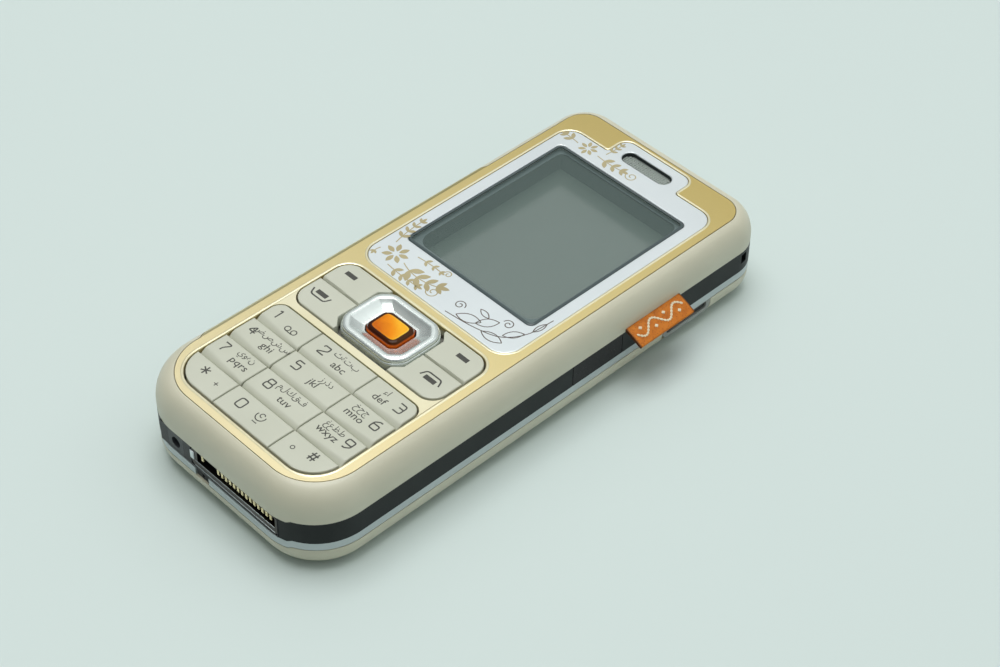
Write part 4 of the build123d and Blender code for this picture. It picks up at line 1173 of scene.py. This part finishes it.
def wire(fixed, reach, across, phase):
    """One wire along a line; its height waves with the pitch of the crossing wires."""
    steps = max(int(2 * reach / WIRE_PITCH * 2), 4)
    path = []
    for step in range(steps + 1):
        free = -reach + 2 * reach * step / steps
        height = WIRE_WAVE * cos(pi * free / WIRE_PITCH + phase)
        x, y = (fixed, free) if across else (free, fixed)
        path.append(Vector((x, y + SLOT_CENTRE_Y, WEAVE_LEVEL + height)) * MM)
    return tube(path, WIRE_WIDTH, resolution=0, caps=False)


def make_weave():
    """Wires along and across the slot."""
    half_x, half_y = SLOT_HALF
    wires = []
    for index in range(-11, 12):
        x = index * WIRE_PITCH
        past = max(abs(x) - (half_x - half_y), 0)
        wires.append(wire(x, sqrt(half_y**2 - past**2), True, pi * index))
    for index in range(-3, 4):
        y = index * WIRE_PITCH
        wires.append(wire(y, half_x - half_y + sqrt(half_y**2 - y**2), False, pi * (index + 1)))
    return finish_piece(joined(wires), "earpiece_weave", "mesh_metal", "phone")


def make_slot_shade_ring():
    """Dark ring on the slot's wall, from the weave up to just under the plate's face: painted shade on the
    wall.
    """
    half_x, half_y = (half - 0.06 for half in SLOT_HALF)
    ends = (-half_x, half_x, SLOT_CENTRE_Y - half_y, SLOT_CENTRE_Y + half_y)
    rim = box_path(*ends, half_y - 0.01, half_y - 0.01, 8)
    foot = WEAVE_LEVEL - 0.1
    levels = ((0.0, foot), (0.0, 16.82), (-0.14, 16.76), (-0.16, foot))
    # dark ring of painted shade inside the slot
    slot_shade = loop_loft("slot_shade_ring", ring_levels(rim, levels))
    return finish_piece(slot_shade, "slot_shade_ring", "black_foam", "phone")


make_slot_shade_ring()
weave = make_weave()
print("weave of", len(weave.data.polygons), "faces")

# %% [markdown]
# ## Printed ornament
# The silver plate carries a printed sprig in pale gold in two corners and a thin line drawing in a third.
# Each leaf starts as a circle primitive that is pulled into an almond, and stems are flat strokes.

# %% Printed ornament
PRINT_LEVEL = BEZEL_HIGH.z + 0.004
PRINT_HEIGHT = 0.012
GOLD_LINE = 0.2
BROWN_LINE = 0.18


def almond(centre, angle, length, width, lift=0.0):
    """Filled leaf."""
    deselect()
    bpy.ops.mesh.primitive_circle_add(vertices=20, fill_type="NGON")
    leaf = bpy.context.object
    turn = Matrix.Rotation(angle, 2)
    for vertex in leaf.data.vertices:
        along, across = vertex.co.x, vertex.co.y * sqrt(max(1 - vertex.co.x**2, 0)) * 0.9
        place = turn @ Vector((along * length / 2 + length / 2, across * width / 2))
        vertex.co = Vector((place.x + centre[0], place.y + centre[1], PRINT_LEVEL + lift)) * MM
    edit(leaf, "FACE")
    bpy.ops.mesh.select_all(action="SELECT")
    bpy.ops.mesh.extrude_region_move(TRANSFORM_OT_translate={"value": (0, 0, 0.008 * MM)})
    leave_edit()
    tidy_normals(leaf)
    return leaf


def line(path, width, closed=False, lift=0.0):
    """Printed line."""
    return stroke(path, width, PRINT_LEVEL + lift, closed, PRINT_HEIGHT)


def almond_line(centre, angle, length, width):
    """Leaf drawn as a thin outline."""
    turn = Matrix.Rotation(angle, 2)
    path = []
    for step in range(24):
        t = 2 * pi * step / 24
        place = turn @ Vector((cos(t) * length / 2 + length / 2, sin(t) * abs(sin(t)) * width / 2))
        path.append((place.x + centre[0], place.y + centre[1]))
    return line(path, BROWN_LINE, True)


def sprig(start, heading, bend, length, leaf_size, pairs):
    """Curved stem with pairs of leaves and one at its tip."""
    pieces, path = [], []
    steps = 4 * pairs
    x, y = start
    for step in range(steps + 1):
        path.append((x, y))
        angle = heading + bend * step / steps
        if step and step % 4 == 0:
            size = leaf_size * (1.1 - 0.35 * step / steps)
            for side in (-1, 1):
                pieces.append(almond((x, y), angle + side * 0.8, size, size * 0.5, 0.002 * (side + 2)))
        x += cos(angle) * length / steps
        y += sin(angle) * length / steps
    pieces.append(almond(path[-1], heading + bend, leaf_size * 0.9, leaf_size * 0.4))
    pieces.append(line(path, GOLD_LINE, lift=0.008))
    return pieces


def blossom(centre, radius, petals=7):
    """Petals round a centre that stays bare."""
    pieces = []
    for index in range(petals):
        angle = 2 * pi * (index + 0.3) / petals
        root = polar(centre, 0.22 * radius, angle)
        pieces.append(almond(root, angle, 0.78 * radius, 0.42 * radius, 0.0015 * (index % 2)))
    return pieces


def curl(centre, radius, start, turns, width):
    """Spiral tendril."""
    steps = 26
    path = []
    for step in range(steps + 1):
        share = step / steps
        path.append(polar(centre, radius * (1 - 0.8 * share), start + turns * 2 * pi * share))
    return line(path, width)


SPRIGS = (  # root, heading and bend in degrees, length, leaf length, pairs of leaves
    ((-10.7, -3.2), -22, 46, 8.4, 2.7, 4),
    ((-15.6, -0.6), 104, -14, 6.6, 1.6, 4),
    ((-12.4, -5.4), -6, 10, 7.2, 1.7, 4),
    ((-16.4, -3.4), 250, 30, 1.2, 1.3, 1),
    ((-10.2, -0.5), 8, -12, 5.4, 1.3, 3),
    ((-13.4, 41.3), 172, 6, 3.0, 1.9, 2),
    ((-8.4, 41.2), -6, 14, 5.6, 2.0, 3),
    ((-7.6, 42.6), 84, 4, 3.6, 1.25, 3),
)
GOLD_CURLS = (((-2.0, -4.6), 1.3, pi, 1.3), ((-3.4, 0.2), 0.8, pi, -1.2), ((-0.2, 41.4), 1.2, pi, 1.3))
DRAWN_LEAVES = (  # root, heading in degrees, length, width
    ((4.6, -5.4), 20, 4.6, 2.0),
    ((8.4, -4.6), 48, 4.0, 1.9),
    ((10.4, -5.2), 6, 4.4, 1.8),
    ((13.6, -3.4), 52, 3.6, 1.5),
    ((16.4, 0.8), 84, 3.0, 1.0),
    ((6.6, -1.6), -14, 2.6, 1.0),
)
BROWN_CURLS = (((3.4, -3.4), 1.1, 0.0, 1.4), ((12.4, -0.9), 1.1, pi, -1.4))
DRAWN_STEM = [(2.8, -6.2), (8.6, -5.6), (13.8, -4.2), (16.4, -0.4), (16.8, 5.2)]


def make_gold_print():
    """Blossom with sprigs at the lower left and another at the upper left."""
    paint = blossom((-13.4, -2.6), 2.5)
    for start, heading, bend, *sizes in SPRIGS:
        paint += sprig(start, radians(heading), radians(bend), *sizes)
    paint += blossom((-11.0, 41.5), 1.9)
    paint += [curl(*tendril, GOLD_LINE) for tendril in GOLD_CURLS]
    return finish_piece(joined(paint), "gold_sprig_print", "gold_ink", "phone")


def make_line_print():
    """Thin drawing of leaves and tendrils at the lower right."""
    paint = [almond_line(root, radians(heading), *size) for root, heading, *size in DRAWN_LEAVES]
    paint += [curl(*tendril, BROWN_LINE) for tendril in BROWN_CURLS]
    paint.append(line(soften(DRAWN_STEM, False, 0.45), BROWN_LINE))
    return finish_piece(joined(paint), "line_print", "brown_ink", "phone")


make_gold_print()
make_line_print()
print("ornament printed")

# %% [markdown]
# ## Leather tag
# A thin strap of leather comes out of the side seam, droops and is folded at its nose. Cream thread is sewn
# on it. The strap is a grid bent along its own profile with rounded long edges; each stitch is a small
# copied bead, laid on the slope along a line.

# %% Leather tag
TAG_Y = (16.8, 29.9)
TAG_ROOT = 22.45
TAG_REACH = 3.55
TAG_TOP = 11.49
TAG_DROP = 1.5
TAG_THICK = 0.56
TAG_HIDDEN_END = 20.4  # where the strap ends inside the shells
NOSE_RADIUS = 0.28
NOSE_SETBACK = 0.05
UNDERSIDE_SETBACK = 0.12
STITCH_WIDTH = 0.48
STITCH_HEIGHT = 0.3
STITCH_OVERLAP = 1.12
WAVE_BEADS = 26


def tag_surface(share, y):
    """Point of the tag's upper face: share runs from the seam to the nose."""
    reach = TAG_REACH * share
    droop = TAG_DROP * share**1.25
    return Vector((TAG_ROOT + reach, y, TAG_TOP - droop))


def make_tag():
    """Strap lofted across its width from its own section."""
    upper = [tag_surface(index / 10, 0) for index in range(11)]
    nose = upper[-1]
    section = [Vector((TAG_HIDDEN_END, 0, TAG_TOP))] + upper
    for step in range(1, 6):
        angle = pi / 2 - pi * step / 6
        x = NOSE_RADIUS * cos(angle) - NOSE_SETBACK
        section.append(nose + Vector((x, 0, -NOSE_RADIUS + NOSE_RADIUS * sin(angle))))
    section += [point - Vector((UNDERSIDE_SETBACK, 0, TAG_THICK)) for point in reversed(upper)]
    section.append(Vector((TAG_HIDDEN_END, 0, TAG_TOP - TAG_THICK)))
    outlines = []
    y_low, y_high = TAG_Y
    for y in (y_low, y_low + 0.18, y_high - 0.18, y_high):
        outlines.append([Vector((point.x, y, point.z)) for point in section])
    strap = lofted("tag", outlines, True, True)
    return finish_piece(strap, "tag_leather", "orange_leather", "phone", ["leather_tag"])


def stitch_row(path):
    """Copies of one small stitch along a path of (share, y) on the tag."""
    pieces = []
    for (share, y), (next_share, next_y) in zip(path, path[1:]):
        start = tag_surface(share, y)
        end = tag_surface(next_share, next_y)
        middle = (start + end) / 2
        length = (end - start).length
        deselect()
        bpy.ops.mesh.primitive_uv_sphere_add(segments=8, ring_count=5, radius=0.5)
        bead_piece = bpy.context.object
        along = (end - start).normalized()
        side = along.cross(Vector((0.35, 0, 1)).normalized()).normalized()
        up = side.cross(along)
        for vertex in bead_piece.data.vertices:
            x, y_local, z = vertex.co
            spot = middle + along * x * length * STITCH_OVERLAP + side * y_local * STITCH_WIDTH
            vertex.co = (spot + up * z * STITCH_HEIGHT) * MM
        pieces.append(bead_piece)
    return pieces


def make_stitching():
    """A running wave between two straight rows."""
    low, high = TAG_Y[0] + 0.9, TAG_Y[1] - 0.9
    wave_row = []
    for index in range(WAVE_BEADS + 1):
        y = low + (high - low) * index / WAVE_BEADS
        wave_row.append((0.5 + 0.27 * sin(2 * pi * 2 * index / WAVE_BEADS), y))
    threads = stitch_row(wave_row)
    for index in range(4):
        y = low + (high - low) * (2 * index + 1) / 8
        share = 0.5 - 0.16 * (1 if index % 2 == 0 else -1)
        threads += stitch_row([(share - 0.08, y), (share + 0.08, y)])
        threads += stitch_row([(share, y - 0.35), (share, y + 0.35)])
    return finish_piece(joined(threads), "tag_stitching", "cream_thread", "phone")


make_tag()
make_stitching()
print("tag sewn")

# %% [markdown]
# ## Small parts of the openings
# A bright tab beside the connector, the lens in the back and the gold pads on the card are seen only from
# close by or when the cover is off, but they are what makes the openings read.

# %% Small parts
def small_block(name, low, high, rounding, finish, body, slot):
    """Block with bevelled edges between two corners. Millimetres."""
    deselect()
    centre = (Vector(low) + Vector(high)) / 2 * MM
    bpy.ops.mesh.primitive_cube_add(size=1, location=centre)
    piece = bpy.context.object
    piece.scale = (Vector(high) - Vector(low)) * MM
    bpy.ops.object.transform_apply(location=True, rotation=True, scale=True)
    bevel = piece.modifiers.new("bevel", "BEVEL")
    bevel.width = rounding * MM
    bevel.segments = 2
    bpy.ops.object.modifier_apply(modifier="bevel")
    return finish_piece(piece, name, finish, body)


LENS_LEVELS = ((1.85, 1.32), (1.7, 1.24), (1.2, 1.16), (0.6, 1.11), (0.15, 1.10))  # radius and height
LENS_CORNERS = 24
# heights of two bright strips on the connector shell: painted highlights along its edges
SHELL_HIGHLIGHT_HEIGHTS = ((6.72, 6.84), (7.85, 7.94))
PAD_SIZE = (2.8, 2.4)
PAD_PITCH = (3.4, 3.0)


def make_lens():
    """Domed camera lens, turned on a circle."""
    low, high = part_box("camera_module")
    middle = (low + high) / 2 / MM
    outlines = []
    for radius, z in LENS_LEVELS:
        angles = [2 * pi * k / LENS_CORNERS for k in range(LENS_CORNERS)]
        outlines.append(at_height([Vector(polar(middle, radius, angle)) for angle in angles], z))
    lens = lofted("lens", outlines, True, True)
    return finish_piece(lens, "camera_lens", "infrared_plastic", "phone")


def make_tab_and_shell_highlights():
    """Tab beside the connector, and thin bright strips at the edges of its shell: painted highlights."""
    corners = (-7.25, -52.5, 7.8), (-6.3, -51.6, 9.5)
    small_block("latch_tab", *corners, 0.08, "silver_plate", "phone", "shell_metal")
    # painted highlights: bright strips on the dark shell
    for number, (low_z, high_z) in enumerate(SHELL_HIGHLIGHT_HEIGHTS):
        corners = (-6.1, -52.43, low_z), (13.8, -52.2, high_z)
        small_block(f"shell_highlight_{number + 1}", *corners, 0.02, "silver_trim", "phone", "shell_metal")


def make_card_pads():
    """Six gold pads on the card, in two rows."""
    for pad in range(6):
        x = -4.0 + PAD_PITCH[0] * (pad % 3)
        y = -8.6 + PAD_PITCH[1] * (pad // 3)
        corners = (x, y, 8.09), (x + PAD_SIZE[0], y + PAD_SIZE[1], 8.12)
        small_block(f"card_pad_{pad + 1}", *corners, 0.01, "contact_gold", "sim", "contact_gold")


make_tab_and_shell_highlights()
make_lens()
make_card_pads()
print("tab, rims, lens and pads")

# %% [markdown]
# ## Stage
# The floor is a plain pale sheet. Three soft boxes light the phone: a wide one overhead, a large one from
# behind on the left, which the plates mirror towards the camera, and a small cool one at the right.

# %% Stage
FLOOR_LEVEL = -0.00005  # just under the phone, so the two faces don't coincide
FLOOR_TONES = [(0.3, (0.640, 0.727, 0.708)), (0.7, (0.654, 0.742, 0.722))]


def make_floor():
    """Pale mint floor."""
    deselect()
    bpy.ops.mesh.primitive_plane_add(size=6, location=(0, 0, FLOOR_LEVEL))
    floor = bpy.context.object
    floor.name = "floor"
    material, shader = start_material("floor", 0.0, 0.7)
    tune(shader, {"Specular IOR Level": 0.1})
    link(material, ramp(material, noise(material, 3, 2), FLOOR_TONES), shader.inputs["Base Color"])
    floor.data.materials.append(material)


def soft_box(name, place, aim, size, power, colour=(1, 1, 1)):
    """Square area lamp turned to a point."""
    bpy.ops.object.light_add(type="AREA", location=place)
    lamp = bpy.context.object
    lamp.name = name
    lamp.data.size = size
    lamp.data.energy = power
    lamp.data.color = colour
    lamp.rotation_euler = (Vector(aim) - Vector(place)).to_track_quat("-Z", "Y").to_euler()


WORLD_LEVEL = 0.12  # straight ahead, along the floor
WORLD_LEAST = 0.05
WORLD_SLOPE = (0.0, 0.18, 0.46)  # brighter overhead and towards the far end


def make_world():
    """Pale surroundings: a dimmer side behind the camera, a brighter one ahead and overhead."""
    world = bpy.data.worlds.new("pale_room")
    bpy.context.scene.world = world
    world.use_nodes = True
    background = world.node_tree.nodes["Background"]
    tune(background, {"Color": (0.91, 0.965, 0.955, 1)})
    direction = add_node(world, "ShaderNodeTexCoord")
    slope = add_node(world, "ShaderNodeVectorMath", operation="DOT_PRODUCT")
    slope.inputs[1].default_value = WORLD_SLOPE
    link(world, direction.outputs["Generated"], slope.inputs[0])
    level = math_node(world, "ADD", slope.outputs["Value"], WORLD_LEVEL)
    link(world, math_node(world, "MAXIMUM", level, WORLD_LEAST), background.inputs["Strength"])


LIGHTS = {
    "top_light": ((-0.12, 0.04, 1.25), 0.9, 10.2, (1.0, 1.0, 0.985)),
    "back_panel": ((-1.25, 0.95, 1.95), 1.3, 1.7, (1.0, 1.0, 0.985)),
    "side_window": ((0.52, 0.65, 0.99), 0.8, 0.8, (0.97, 1.0, 1.0)),
}

make_floor()
make_world()
for lamp_name, (place, size, power, colour) in LIGHTS.items():
    soft_box(lamp_name, place, (0, 0, 0), size, power, colour)
print(len(LIGHTS), "soft boxes")
